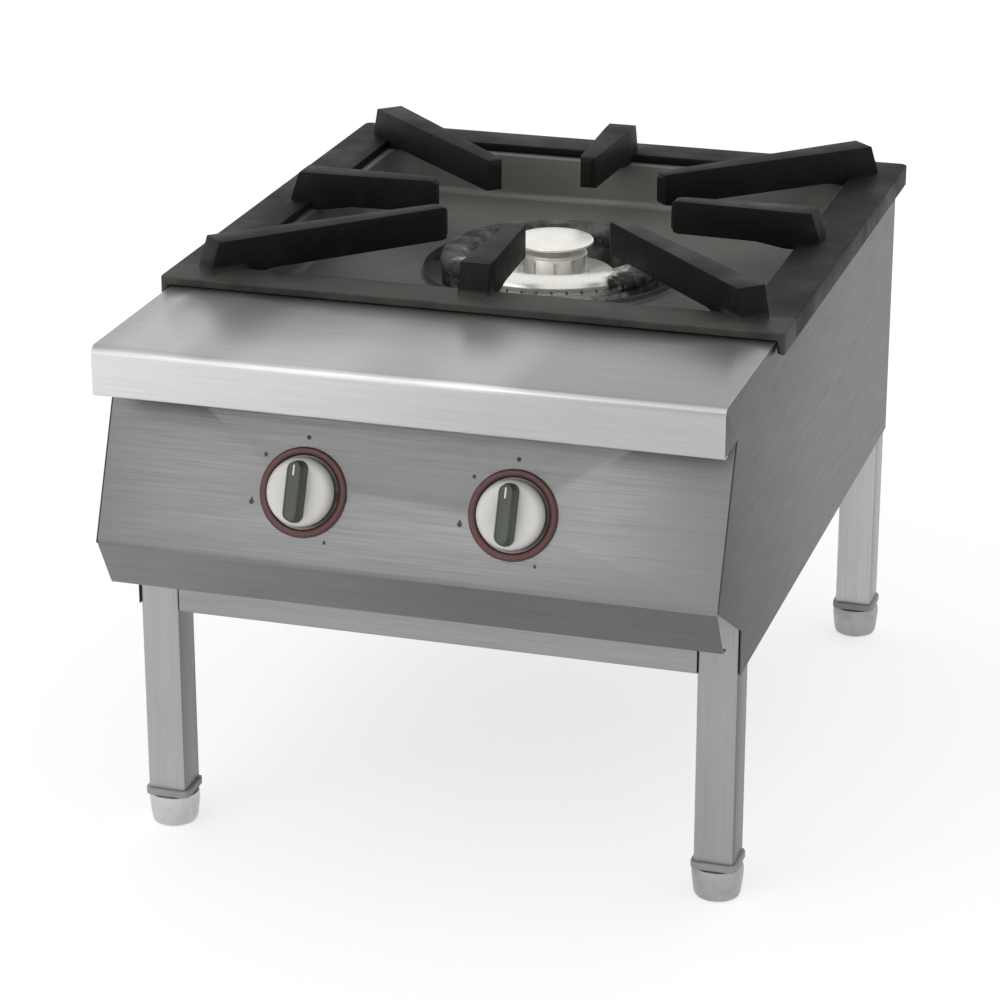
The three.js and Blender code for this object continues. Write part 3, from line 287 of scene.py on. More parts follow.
def combine(piece, tool, operation):
    """Cuts a piece with a tool, or joins them. The tool is used up."""
    run_modifier(piece, "BOOLEAN", operation=operation, object=tool, solver="EXACT")
    bpy.data.objects.remove(tool)


def close_seams(piece):
    """Merges what a cut left side by side, and fills slits."""
    edit(piece)
    bpy.ops.mesh.remove_doubles(threshold=2 * CLOSE)
    bpy.ops.mesh.dissolve_degenerate(threshold=CLOSE)
    pick("EDGE", lambda e: e.is_boundary)
    bpy.ops.mesh.fill_holes(sides=0)
    turn_outward()
    leave_edit_mode()


def gather(pieces, name):
    """Joins separate pieces into one object."""
    nothing_selected()
    for piece in pieces:
        piece.select_set(True)
    bpy.context.view_layer.objects.active = pieces[0]
    bpy.ops.object.join()
    return call_it(pieces[0], name)


def copy_at(piece, name, matrix):
    """A copy with its own mesh, moved by a matrix."""
    other = piece.copy()
    other.data = piece.data.copy()
    other.data.transform(matrix)
    bpy.context.scene.collection.objects.link(other)
    return call_it(other, name)


def move(piece, matrix):
    piece.data.transform(matrix)
    return piece


def break_edges(piece, width, segments=2, angle=35):
    """Rounds every sharp edge a little, as a deburred or moulded edge is."""
    run_modifier(
        piece,
        "BEVEL",
        width=width,
        segments=segments,
        limit_method="ANGLE",
        angle_limit=math.radians(angle),
        use_clamp_overlap=True,
    )


def smooth(piece, angle=32):
    only(piece)
    bpy.ops.object.shade_smooth_by_angle(angle=math.radians(angle))


def refined(node, width, segments, angle):
    """A copy of a CAD node, merged into one skin, with its edges broken and shaded round."""
    source = NODES[node]
    piece = source.copy()
    piece.data = source.data.copy()
    piece.parent = None
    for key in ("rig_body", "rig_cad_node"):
        del piece[key]
    call_it(piece, node + "_finished")
    bpy.context.scene.collection.objects.link(piece)
    piece.data.materials.clear()
    edit(piece)
    bpy.ops.mesh.remove_doubles(threshold=2e-6)
    bpy.ops.mesh.dissolve_limited(angle_limit=math.radians(1))
    leave_edit_mode()
    if width:
        break_edges(piece, width, segments, angle)
    smooth(piece)
    return piece


def attach(piece, finish, node):
    """Gives a piece its finish, and lets it ride with a CAD node's body."""
    piece.data.materials.clear()
    piece.data.materials.append(finish_of(finish))
    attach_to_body(piece, BODY_OF[node])
    return piece


def fit_in(piece, finish, node):
    """Gives a piece its finish, and puts it in the place of its CAD node."""
    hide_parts(node)
    return attach(piece, finish, node)


def dress(node, finish, width=0.0004, segments=2, angle=35):
    """Refines a CAD node and gives it its finish. A width of 0 leaves its edges."""
    return fit_in(refined(node, width, segments, angle), finish, node)


def dress_faces(piece, finish, test):
    """Gives a second finish to the faces that pass a test."""
    piece.data.materials.append(finish_of(finish))
    for face in piece.data.polygons:
        if test(face):
            face.material_index = 1


# ------------------------------------------------------------------ finishes


class Shading:
    """Adds nodes to the node tree of a material or a world."""

    def __init__(self, tree):
        self.nodes = tree.nodes
        self.links = tree.links

    def add(self, kind, inputs, **settings):
        """A new node. Each of its inputs is a plain value or another node's output."""
        node = self.nodes.new(kind)
        for key, value in settings.items():
            setattr(node, key, value)
        for key, value in inputs.items():
            if isinstance(value, bpy.types.NodeSocket):
                self.links.new(value, node.inputs[key])
            else:
                node.inputs[key].default_value = value
        return node

    def maths(self, operation, first, second=0.0):
        return self.add("ShaderNodeMath", {0: first, 1: second}, operation=operation).outputs[0]

    def spread(self, value, low, high, to_low=0.0, to_high=1.0):
        """Maps a value from one range to another."""
        inputs = {
            "Value": value,
            "From Min": low,
            "From Max": high,
            "To Min": to_low,
            "To Max": to_high,
        }
        return self.add("ShaderNodeMapRange", inputs).outputs["Result"]

    def seen(self):
        """1 for what the camera sees, also in metal or through glass, else 0."""
        rays = self.add("ShaderNodeLightPath", {})
        value = rays.outputs["Is Camera Ray"]
        for kind in ("Is Glossy Ray", "Is Transmission Ray"):
            value = self.maths("MAXIMUM", value, rays.outputs[kind])
        return value


class Finish(Shading):
    """One procedural material, built on the object's own coordinates."""

    def __init__(self, name, colour, metallic, roughness, specular=0.5):
        self.material = bpy.data.materials.new(name)
        self.material.use_nodes = True
        super().__init__(self.material.node_tree)
        self.sockets = self.nodes["Principled BSDF"].inputs
        self.sockets["Base Color"].default_value = (*colour, 1)
        self.sockets["Metallic"].default_value = metallic
        self.sockets["Roughness"].default_value = roughness
        self.sockets["Specular IOR Level"].default_value = specular
        self.place = self.nodes.new("ShaderNodeTexCoord").outputs["Object"]
        self.normal = None

    def noise(self, scale, detail, roughness, stretch=(1, 1, 1)):
        """Noise from 0 to 1. A small stretch draws it out along that axis."""
        mapping = self.add("ShaderNodeMapping", {"Vector": self.place, "Scale": stretch})
        inputs = {
            "Vector": mapping.outputs["Vector"],
            "Scale": scale,
            "Detail": detail,
            "Roughness": roughness,
        }
        return self.add("ShaderNodeTexNoise", inputs).outputs["Fac"]

    def along(self, axis):
        """The place along X, Y or Z, given as 0, 1 or 2."""
        return self.add("ShaderNodeSeparateXYZ", {"Vector": self.place}).outputs[axis]

    def tint(self, amount, other, blend="MIX"):
        """Mixes another colour over what the surface has so far."""
        base = self.sockets["Base Color"]
        so_far = base.links[0].from_socket if base.is_linked else tuple(base.default_value)
        # A mix node's first, seventh and eighth inputs are its amount and two colours.
        inputs = {0: amount, 6: so_far, 7: (*other, 1)}
        mix = self.add("ShaderNodeMix", inputs, data_type="RGBA", blend_type=blend)
        self.links.new(mix.outputs[2], base)

    def dim(self, amount):
        self.tint(amount, DIM, "MULTIPLY")

    def roughen(self, value, low, high, smoothest, roughest):
        """Spreads the roughness over a value's range."""
        rough = self.spread(value, low, high, smoothest, roughest)
        self.links.new(rough, self.sockets["Roughness"])

    def bump(self, height, strength, distance):
        inputs = {"Height": height, "Strength": strength, "Distance": distance}
        if self.normal:
            inputs["Normal"] = self.normal
        self.normal = self.add("ShaderNodeBump", inputs).outputs["Normal"]
        self.links.new(self.normal, self.sockets["Normal"])


def brushed(name, colour, along, roughness=0.42, cloud=0.2, zones=None, metallic=0.85):
    """Sheet steel with fine scratches that run along X, Y or Z (0, 1 or 2)."""
    finish = Finish(name, colour, metallic, roughness)
    if zones:
        zones(finish)
    stretch = [1.0, 1.0, 1.0]
    stretch[along] = 0.012
    grain = finish.noise(1100, 2, 0.6, stretch)
    streak = finish.noise(130, 3, 0.5, stretch)
    patch = finish.noise(5, 2, 0.45)
    finish.dim(finish.spread(patch, 0.38, 0.68, 0, cloud))
    finish.dim(finish.spread(streak, 0.35, 0.75, 0, 0.22))
    finish.dim(finish.spread(grain, 0.4, 0.8, 0, 0.35))
    finish.roughen(grain, 0.3, 0.7, roughness - 0.04, roughness + 0.08)
    finish.bump(grain, 0.08, 0.0002)
    return finish


def enamelled(name, colour, front_rail_highlight):
    """Black enamel over rough iron, dusty in its hollows, and lighter grey along the front rail
    as a painted highlight.
    """
    finish = Finish(name, colour, metallic=0.0, roughness=0.5, specular=0.10)
    peel = finish.noise(170, 3, 0.5)
    patch = finish.noise(16, 4, 0.6)
    dust = finish.noise(55, 5, 0.7)
    finish.tint(finish.spread(patch, 0.45, 0.8, 0, 0.5), (0.022, 0.022, 0.020))
    finish.tint(finish.spread(dust, 0.60, 0.76, 0, 0.25), (0.05, 0.049, 0.044))
    # Painted highlight: the pan support's front rail is tinted lighter grey.
    rail_end, over_rail = SUPPORT_LOW.y + 0.050, SUPPORT_HIGH.z - 0.0265
    on_rail = finish.spread(finish.along(1), rail_end + 0.004, rail_end - 0.004)
    low_down = finish.spread(finish.along(2), over_rail + 0.0025, over_rail - 0.0025)
    uneven = finish.spread(patch, 0.35, 0.6, 0.35, 0.85)
    painted_highlight = finish.maths("MULTIPLY", finish.maths("MULTIPLY", on_rail, low_down), uneven)
    finish.tint(painted_highlight, front_rail_highlight)
    finish.roughen(patch, 0.3, 0.7, 0.4, 0.65)
    finish.bump(peel, 0.3, 0.0006)
    finish.bump(patch, 0.25, 0.001)
    return finish


def sooted_round_painted_highlight(name, colour, soot):
    """Casting sooted dark at both sides and behind, left bright in a strip at the front as a
    painted highlight.
    """
    finish = Finish(name, colour, metallic=0.7, roughness=0.38)
    mottle = finish.noise(38, 5, 0.65)
    wander = finish.spread(mottle, 0.3, 0.7, -0.022, 0.022)
    # Painted highlight: the casting stays bright only in a strip at the front, about this X.
    highlight_x = 0.010
    off_centre = finish.maths("SUBTRACT", finish.along(0), highlight_x)
    across = finish.maths("ADD", finish.maths("ABSOLUTE", off_centre), wander)
    back = finish.maths("ADD", finish.along(1), wander)
    soot_outside_highlight = finish.maths(
        "MAXIMUM",
        finish.spread(across, 0.060, 0.085),
        finish.spread(back, BURNER_Y - 0.070, BURNER_Y - 0.040),
    )
    cover = finish.maths("MULTIPLY", soot_outside_highlight, finish.spread(mottle, 0.40, 0.60, 0.88, 1.0))
    sand = finish.noise(420, 4, 0.65)
    finish.dim(finish.spread(sand, 0.4, 0.8, 0, 0.4))
    finish.tint(cover, soot)
    finish.roughen(soot_outside_highlight, 0, 1, 0.34, 0.68)
    finish.bump(sand, 0.25, 0.0004)
    return finish


def machined(name, colour, roughness, metallic=0.95, tarnish=0.55, zones=None):
    """Turned or drawn metal with a faint tarnish."""
    finish = Finish(name, colour, metallic, roughness)
    if zones:
        zones(finish)
    stain = finish.noise(60, 4, 0.6)
    fine = finish.noise(700, 2, 0.5)
    finish.tint(finish.spread(stain, 0.4, 0.75, 0, tarnish), (0.70, 0.66, 0.60), "MULTIPLY")
    finish.roughen(stain, 0.3, 0.7, roughness - 0.05, roughness + 0.12)
    finish.bump(fine, 0.06, 0.0002)
    return finish


def spangled(name, colour):
    """Galvanised sheet with its crystal spangle."""
    finish = Finish(name, colour, metallic=0.8, roughness=0.45)
    cells = finish.add("ShaderNodeTexVoronoi", {"Vector": finish.place, "Scale": 95})
    grey = finish.add("ShaderNodeRGBToBW", {"Color": cells.outputs["Color"]})
    shade = finish.spread(grey.outputs["Val"], 0.2, 0.8)
    finish.dim(finish.maths("MULTIPLY", shade, 0.3))
    finish.roughen(shade, 0, 1, 0.35, 0.57)
    finish.bump(finish.noise(300, 2, 0.5), 0.05, 0.0002)
    return finish


def moulded(name, colour, roughness, grain=0.1):
    """Moulded plastic with a fine, even grain."""
    finish = Finish(name, colour, metallic=0.0, roughness=roughness)
    fine = finish.noise(1500, 2, 0.5)
    patch = finish.noise(30, 2, 0.5)
    finish.dim(finish.spread(patch, 0.4, 0.8, 0, 0.4))
    finish.roughen(fine, 0.3, 0.7, roughness - 0.05, roughness + 0.08)
    finish.bump(fine, grain, 0.0002)
    return finish


# ------------------------------------------------------------------ sizes and colours


def number(name, description, default, **kind):
    return bpy.props.FloatProperty(
        name=name, description=description, default=default, **kind
    )


def size(name, description, default):
    kind = dict(min=0.0, subtype="DISTANCE", unit="LENGTH", precision=4)
    return number(name, description, default, **kind)


def point(name, description, default):
    return bpy.props.FloatVectorProperty(
        name=name,
        description=description,
        default=default,
        subtype="TRANSLATION",
        unit="LENGTH",
    )


def colour(name, description, default):
    return bpy.props.FloatVectorProperty(
        name=name,
        description=description,
        default=default,
        size=3,
        min=0.0,
        max=1.0,
        subtype="COLOR",
    )


class RangeBodySizes(bpy.types.PropertyGroup):
    nose_radius: size("Nose radius", "Rolled front edge of the worktop", 0.009)
    hem: size("Apron hem", "Return under the front apron", 0.012)
    rear_fold: size("Rear fold", "Fold down at the back of the worktop", 0.020)
    worktop_sheet: size("Worktop sheet", "Thickness of the worktop", 0.0015)
    panel_sheet: size("Panel sheet", "Thickness of the control panel", 0.0012)
    fold_radius: size("Fold radius", "Outer radius of the control panel's folds", 0.003)
    tube_edge: size("Tube edge", "Rounding of the edges of legs and rails", 0.0012)
    screw_radius: size("Screw radius", "Head of the panel screws", 0.0042)


class RangeTopSizes(bpy.types.PropertyGroup):
    rail_width: size("Rail width", "Width of the pan support's rails", 0.050)
    rail_thickness: size("Rail thickness", "Thickness of the pan support's rails", 0.0085)
    skirt_wall: size("Skirt wall", "Wall of the skirt round sides and back", 0.008)
    finger_tip: size("Finger tip width", "Width of a finger at its tip", 0.017)
    finger_root: size("Finger root width", "Width of a finger over the rail", 0.030)
    finger_edge: size("Finger edge radius", "Rounding along the fingers", 0.0035)
    tray_corner: size("Tray corner", "Corner radius of the drip tray's bowl", 0.030)
    tray_bottom: size("Tray bottom radius", "Radius between tray wall and floor", 0.008)


class RangeControlSizes(bpy.types.PropertyGroup):
    knob_radius: size("Knob radius", "Outer radius of a knob", 0.032)
    grip_width: size("Grip width", "Width of a knob's grip", 0.018)
    grip_length: size("Grip length", "Length of a knob's grip", 0.058)
    mark_offset: size("Mark offset", "Knob axis to the middle of a dial mark", 0.051)


class RangeColours(bpy.types.PropertyGroup):
    # The apron and the landing are one sheet. The landing's darker colour is painted shade, and
    # the nose line is a painted highlight.
    apron: colour("Apron steel", "Bright front of the worktop", (0.74, 0.74, 0.74))
    landing_painted_light_and_shade: colour("Landing steel", "Satin top of the worktop", (0.50, 0.50, 0.495))
    painted_nose_highlight: colour("Rubbed steel", "Worn line along the worktop's nose", (0.92, 0.92, 0.92))
    panel: colour("Panel steel", "Brushed sheet of the control panel", (0.26, 0.26, 0.26))
    # The lip's darker colour is painted shade on the panel's downward faces.
    lip: colour("Lip steel", "Underside of the control panel", (0.23, 0.23, 0.23))
    # The side panels' dark colour is painted shade.
    side: colour("Side steel", "Brushed sheet of the side panels", (0.092, 0.092, 0.094))
    # The legs' right faces and the rear legs are lit and shaded copies of one steel: painted
    # light and shade.
    leg: colour("Leg steel", "Front faces of the front legs", (0.45, 0.45, 0.445))
    leg_shaded_side: colour("Leg side steel", "Right faces of the front legs", (0.25, 0.25, 0.247))
    rear_leg_painted_light: colour("Rear leg steel", "Front faces of the rear legs", (0.56, 0.56, 0.555))
    rear_leg_shaded_side: colour("Rear leg side", "Right faces of the rear legs", (0.38, 0.38, 0.377))
    rail: colour("Rail steel", "Tubes between the legs", (0.36, 0.36, 0.357))
    tray: colour("Tray steel", "Pressed sheet of the drip tray", (0.150, 0.147, 0.136))
    # Painted light: the tray's rear is lighter than its front.
    tray_rear_painted_light: colour("Tray rear", "Less soiled rear half of the tray", (0.225, 0.22, 0.205))
    enamel: colour("Enamel", "Black enamel of the pan support", (0.008, 0.008, 0.0075))
    # Painted highlight on the front rail of the pan support.
    front_rail_highlight: colour("Worn enamel", "Front rail of the pan support", (0.080, 0.080, 0.073))
    soot: colour("Soot", "Burnt parts of the outer burner", (0.035, 0.035, 0.033))
    alloy: colour("Burner alloy", "Bright casting of the burner", (0.90, 0.89, 0.84))
    foot: colour("Foot steel", "Turned steel of the levelling feet", (0.56, 0.56, 0.56))
    insert: colour("Insert", "Plastic inserts in the legs", (0.33, 0.33, 0.33))
    knob: colour("Knob", "Silver skirt of the knobs", (0.70, 0.685, 0.66))
    grip: colour("Knob grip", "Dark grip of the knobs", (0.055, 0.064, 0.052))
    bezel: colour("Bezel", "Red ring round each knob", (0.082, 0.021, 0.020))
    mark: colour("Dial mark", "Printed marks by the knobs", (0.045, 0.045, 0.045))
    galvanised: colour("Galvanised steel", "Back panel, rails and brackets", (0.42, 0.44, 0.46))
    brass: colour("Brass", "Valves, injectors, collars and pilot", (0.62, 0.45, 0.19))
    copper: colour("Copper", "Supply tubes and sensor lead", (0.64, 0.33, 0.22))
    spindle: colour("Spindle steel", "Spindles and screws", (0.62, 0.62, 0.62))


class RangeStage(bpy.types.PropertyGroup):
    lens: number("Lens", "Focal length of the camera", 122.09, unit="CAMERA")
    azimuth: number(
        "Azimuth",
        "How far the camera stands round from the front, to the right",
        math.radians(16.9),
        subtype="ANGLE",
    )
    elevation: number(
        "Elevation", "Camera angle above level", math.radians(20.95), subtype="ANGLE"
    )
    distance: size("Distance", "Camera to the point it looks at", 3.39766)
    aim: point("Aim", "Point that the camera looks at", (0.0003, -0.0896, 0.29915))
    lamp_place: point("Lamp place", "Where the soft lamp stands", (-1.8, -3.6, 2.6))
    lamp_aim: point("Lamp aim", "Point that the lamp is turned to", (0, 0, 0.35))
    lamp_size: size("Lamp size", "Side of the square lamp", 3.4)
    lamp_power: number("Lamp power", "Power of the lamp in watts", 44, unit="POWER")
    floor_radius: size("Floor radius", "Reach of the round floor", 9)
    floor: colour("Floor", "Pale floor", (0.86, 0.86, 0.86))
    seen_floor: colour("Seen floor", "Floor colour under its white glow", (0.45, 0.45, 0.45))
    glow: number("Glow", "White that the floor shows by itself", 0.66, subtype="FACTOR")
    light: number("Light", "Strength of the sky on the object", 0.75, subtype="FACTOR")


# ------------------------------------------------------------------ pieces

FINISH = {}


def make_finishes(colours):
    """All finishes, made once and shared by the pieces."""
    left, right = WORKTOP_LOW.x, WORKTOP_HIGH.x

    def painted_shade_across_x(start, end, amount):
        """Painted shade that darkens a surface from one X to another."""

        def zones(finish):
            share = finish.spread(finish.along(0), start, end, 0, amount)
            finish.dim(share)

        return zones

    # Painted shade, darker towards the right.
    painted_shade_to_right = painted_shade_across_x(left, right, 1.5)

    # Painted light on the legs: darker towards the right, and lighter at the rear.
    def leg_painted_light(rear_painted_light):
        def zones(finish):
            painted_shade_across_x(left, right, 0.5)(finish)
            finish.tint(finish.spread(finish.along(1), 0, 0.3), rear_painted_light)

        return zones

    # Painted light on the tray: lighter at the rear. It is also darker towards the front.
    def tray_painted_light(finish):
        front, rear = BURNER_Y + 0.08, BURNER_Y + 0.20
        depth = finish.along(1)
        finish.dim(finish.spread(depth, rear, front))
        finish.tint(finish.spread(depth, front, rear, 0, 0.8), colours.tray_rear_painted_light)

    def landing_painted_light_and_shade(finish):
        """Painted shade darker to the right and on the level top, a painted highlight along the
        nose and wide bands of painted reflection.
        """
        painted_shade_to_right(finish)
        height = finish.along(2)
        top = WORKTOP_HIGH.z
        flat, highlight_start, highlight_end = top - 0.0006, top - 0.0020, top - 0.0052
        # Painted shade: the level top is darker than the apron.
        level = finish.spread(height, top - 0.0085, flat)
        finish.tint(level, colours.landing_painted_light_and_shade)
        # Painted highlight along the nose, stronger to the right.
        painted_nose_highlight = finish.maths(
            "MINIMUM",
            finish.spread(height, highlight_end, highlight_end + 0.0016),
            finish.spread(height, flat, highlight_start),
        )
        reach = finish.spread(finish.along(0), -0.12, 0.06, 0.15, 1.0)
        finish.tint(finish.maths("MULTIPLY", painted_nose_highlight, reach), colours.painted_nose_highlight)
        # Wide dull bands of painted reflection.
        painted_reflection_band = finish.spread(finish.noise(6.5, 1, 0.4, (1, 0.03, 0.03)), 0.42, 0.56, 0, 1.25)
        finish.dim(finish.maths("MULTIPLY", level, painted_reflection_band))

    made = dict(
        # The worktop carries painted light and shade on its landing.
        worktop=brushed("worktop_steel", colours.apron, 0, 0.34, 0.12, landing_painted_light_and_shade),
        # The panel is painted darker towards the left: painted shade.
        panel=brushed("panel_steel", colours.panel, 0, zones=painted_shade_across_x(right, left, 0.6)),
        # The lip is painted darker, and darker towards the right: painted shade.
        lip=brushed("lip_painted_shade_steel", colours.lip, 0, zones=painted_shade_to_right),
        # The side panels are painted dark: painted shade.
        side=brushed("side_painted_shade_steel", colours.side, 1, cloud=0.3),
        # Legs: front faces and darker right faces of one steel, the right faces with painted
        # shade.
        leg=brushed("leg_steel", colours.leg, 2, zones=leg_painted_light(colours.rear_leg_painted_light)),
        leg_shaded_side=brushed(
            "leg_shaded_side_steel", colours.leg_shaded_side, 2, zones=leg_painted_light(colours.rear_leg_shaded_side)
        ),
        rail=brushed("rail_steel", colours.rail, 0),
        rail_along=brushed("side_rail_steel", colours.rail, 1),
        tray=brushed("tray_steel", colours.tray, 0, 0.45, 0.4, tray_painted_light, metallic=0.3),
        # The feet are painted darker towards the right: painted shade.
        foot=machined("foot_steel", colours.foot, 0.32, zones=painted_shade_to_right),
        insert=moulded("foot_insert_plastic", colours.insert, 0.6, 0.2),
        galvanised=spangled("galvanised_steel", colours.galvanised),
        enamel=enamelled("black_enamel", colours.enamel, colours.front_rail_highlight),
        # The cap's bright front strip is a painted highlight.
        cap=sooted_round_painted_highlight("sooted_cap_painted_highlight", colours.alloy, colours.soot),
        alloy=machined("burner_alloy", colours.alloy, 0.32, 0.75, 0.2),
        brass=machined("brass", colours.brass, 0.3),
        copper=machined("copper", colours.copper, 0.28),
        spindle=machined("spindle_steel", colours.spindle, 0.2),
        knob=moulded("knob_silver", colours.knob, 0.32, 0.05),
        grip=moulded("knob_grip_plastic", colours.grip, 0.42),
        bezel=moulded("bezel_red", colours.bezel, 0.35, 0.05),
        mark=moulded("mark_print", colours.mark, 0.6, 0.0),
    )
    FINISH.update({key: finish.material for key, finish in made.items()})


def finish_of(key):
    if not FINISH:
        make_finishes(bpy.context.scene.range_colours)
    return FINISH[key]


def build_worktop(sizes):
    low, high = WORKTOP_LOW, WORKTOP_HIGH
    line = [
        (low.y + sizes.hem, low.z),
        (low.y, low.z),
        (low.y, high.z),
        (high.y, high.z),
        (high.y, high.z - sizes.rear_fold),
    ]
    apron_radius, rear_radius = 0.0025, 0.003
    sheet = fold("worktop_sheet", low.x, high.x, line)
    bend(sheet, line[1], apron_radius, 3)
    bend(sheet, line[2], sizes.nose_radius, 8)
    bend(sheet, line[3], rear_radius, 3)
    run_modifier(sheet, "SOLIDIFY", thickness=sizes.worktop_sheet, offset=-1)
    tray_low, tray_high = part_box("drip_tray")
    ledge, corner, above = 0.014, 0.030, 0.01
    half = (tray_high.x - tray_low.x) / 2 - ledge
    cutter = block(
        "tray_opening",
        (-half, BURNER_Y - half, high.z - above),
        (half, BURNER_Y + half, high.z + above),
    )
    round_corners(cutter, corner)
    leave_edit_mode()
    combine(sheet, cutter, "DIFFERENCE")
    break_edges(sheet, 0.0003)
    smooth(sheet)
    fit_in(sheet, "worktop", "worktop")


def knob_frame(side):
    """Where a knob stands: Z out of the panel, Y up along it."""
    turning = next(j for j in RECORD["behaviour"]["joints"] if j["name"] == f"turn_{side}")
    lean = Matrix.Rotation(math.pi / 2 - PANEL_TILT, 4, "X")
    return Matrix.Translation(turning["pos_m"]) @ lean


def screw(name, radius, place):
    """A pan head with a cross recess, standing on a face."""
    head = turn(
        name,
        [
            (radius, 0.0),
            (radius, radius * 0.22),
            (radius * 0.86, radius * 0.44),
            (radius * 0.5, radius * 0.56),
            (radius * 0.15, radius * 0.6),
        ],
        24,
    )
    arm, deep = radius * 0.16, radius * 0.3
    for along, across in ((radius * 0.55, arm), (arm, radius * 0.55)):
        slot = block("recess", (-along, -across, deep), (along, across, radius))
        combine(head, slot, "DIFFERENCE")
    break_edges(head, radius * 0.03, 1)
    smooth(head, 40)
    return move(head, place)


def build_control_panel(sizes):
    low, high = PANEL_LOW, PANEL_HIGH
    fold_y, fold_z = low.y, 0.339
    lip_length, lip_lean = 0.060, math.radians(30)
    flange, lip_normal = 0.012, -0.42
    top = (fold_y + (high.z - fold_z) * math.tan(PANEL_TILT), high.z)
    lip = (
        fold_y + lip_length * math.sin(lip_lean),
        fold_z - lip_length * math.cos(lip_lean),
    )
    line = [
        (top[0] + flange, top[1]),
        top,
        (fold_y, fold_z),
        lip,
        (lip[0] + flange, lip[1]),
    ]
    top_radius = 0.002
    sheet = fold("control_panel_sheet", low.x, high.x, line)
    bend(sheet, line[1], top_radius, 3)
    bend(sheet, line[2], sizes.fold_radius, 4)
    bend(sheet, line[3], sizes.fold_radius, 4)
    run_modifier(sheet, "SOLIDIFY", thickness=sizes.panel_sheet, offset=1)
    hole_radius, hole_reach = 0.0065, 0.012
    for side in SIDES:
        hole = turn("spindle_hole", [(hole_radius, -hole_reach), (hole_radius, hole_reach)], 32)
        combine(sheet, move(hole, knob_frame(side)), "DIFFERENCE")
    break_edges(sheet, 0.00025)
    smooth(sheet)
    fit_in(sheet, "panel", "control_panel")
    # The downward faces get the darker lip finish: painted shade.
    dress_faces(sheet, "lip", lambda f: f.normal.z < lip_normal)


def about_burner(i, count):
    """The place and turn of one of some copies round the burner's axis."""
    turned = Matrix.Rotation(2 * math.pi * i / count, 4, "Z")
    return Matrix.Translation((0, BURNER_Y, 0)) @ turned


def finger(name, rail, sizes):
    """One finger along +X from the middle: a tip, a widening bar and a stepped root."""
    high = SUPPORT_HIGH.z
    root_low, under, root_end = high - 0.0385, high - 0.034, high - 0.0285
    tip, root = sizes.finger_tip / 2, sizes.finger_root / 2
    near = 0.125

    def half_at(x):
        return tip + (root - tip) * (x - near) / (rail - near)

    # Each station is the place along the finger, half its width, its bottom and its top.
    stations = [
        (near + 0.001, tip * 0.55, under + 0.004, high - 0.004),
        (near + 0.003, tip * 0.9, under + 0.001, high - 0.001),
        (near + 0.008, half_at(near + 0.008), under, high),
        (rail - 0.045, half_at(rail - 0.045), under, high),
        (rail - 0.015, half_at(rail - 0.015), root_low, high),
        (rail + 0.012, root, root_low, high),
        (rail + 0.0215, root, root_low, root_end),
    ]
    (x, half, bottom, top), *rest = stations
    height = top - bottom
    middle_z = (bottom + top) / 2
    bar = block(name, (x - 0.001, -half, bottom), (x, half, top))
    edit(bar)
    pick("FACE", lambda f: f.normal.x > 0.9)
    for next_x, next_half, next_bottom, next_top in rest:
        next_middle = (next_bottom + next_top) / 2
        next_height = next_top - next_bottom
        pull(next_x - x, 0, next_middle - middle_z)
        grow((1, next_half / half, next_height / height), (next_x, 0, next_middle))
        x, half, middle_z, height = next_x, next_half, next_middle, next_height
    leave_edit_mode()
    break_edges(bar, sizes.finger_edge, 3, 30)
    return bar


def build_pan_support(sizes):
    low, high = SUPPORT_LOW, SUPPORT_HIGH
    over_rail, outer_corner, inner_corner = 0.030, 0.008, 0.006
    well_inside = 0.11
    rail_top = high.z - over_rail
    rail_bottom = rail_top - sizes.rail_thickness
    skirt = rail_bottom - low.z
    rails = block(
        "pan_support_casting", (low.x, low.y, rail_bottom), (high.x, high.y, rail_top)
    )
    edit(rails)
    pick("FACE", faces_down)
    bpy.ops.mesh.inset(thickness=sizes.skirt_wall)
    bpy.ops.mesh.inset(thickness=sizes.rail_width - sizes.skirt_wall)
    pick("FACE", faces_up)
    bpy.ops.mesh.inset(thickness=sizes.rail_width)

    def in_opening(face):
        return abs(face.normal.z) > 0.9 and face.calc_center_median().xy.length < well_inside

    pick("FACE", in_opening)
    bpy.ops.mesh.bridge_edge_loops()

    def in_skirt(face):
        centre = face.calc_center_median()
        beside = abs(centre.x) > high.x - sizes.skirt_wall
        return faces_down(face) and (beside or centre.y > high.y - sizes.skirt_wall)

    pick("FACE", in_skirt)
    pull(0, 0, -skirt)
    inner = high.x - sizes.rail_width

    def at_outer_corner(edge):
        x, y, _ = middle(edge)
        across = abs(abs(x) - high.x)
        return upright(edge) and max(across, min(abs(y - low.y), abs(y - high.y))) < CLOSE

    def at_inner_corner(edge):
        return upright(edge) and abs(abs(middle(edge).x) - inner) < CLOSE

    round_edges(at_outer_corner, outer_corner, 5)
    round_edges(at_inner_corner, inner_corner, 4)
    leave_edit_mode()
    break_edges(rails, 0.0016, 3, 40)
    straight = finger("finger", inner, sizes)
    diagonal = finger("corner_finger", inner * math.sqrt(2), sizes)
    for i in range(8):
        source = diagonal if i % 2 else straight
        combine(rails, copy_at(source, "finger_copy", about_burner(i, 8)), "UNION")
    for source in (straight, diagonal):
        bpy.data.objects.remove(source)
    close_seams(rails)
    smooth(rails, 40)
    fit_in(rails, "enamel", "pan_support")


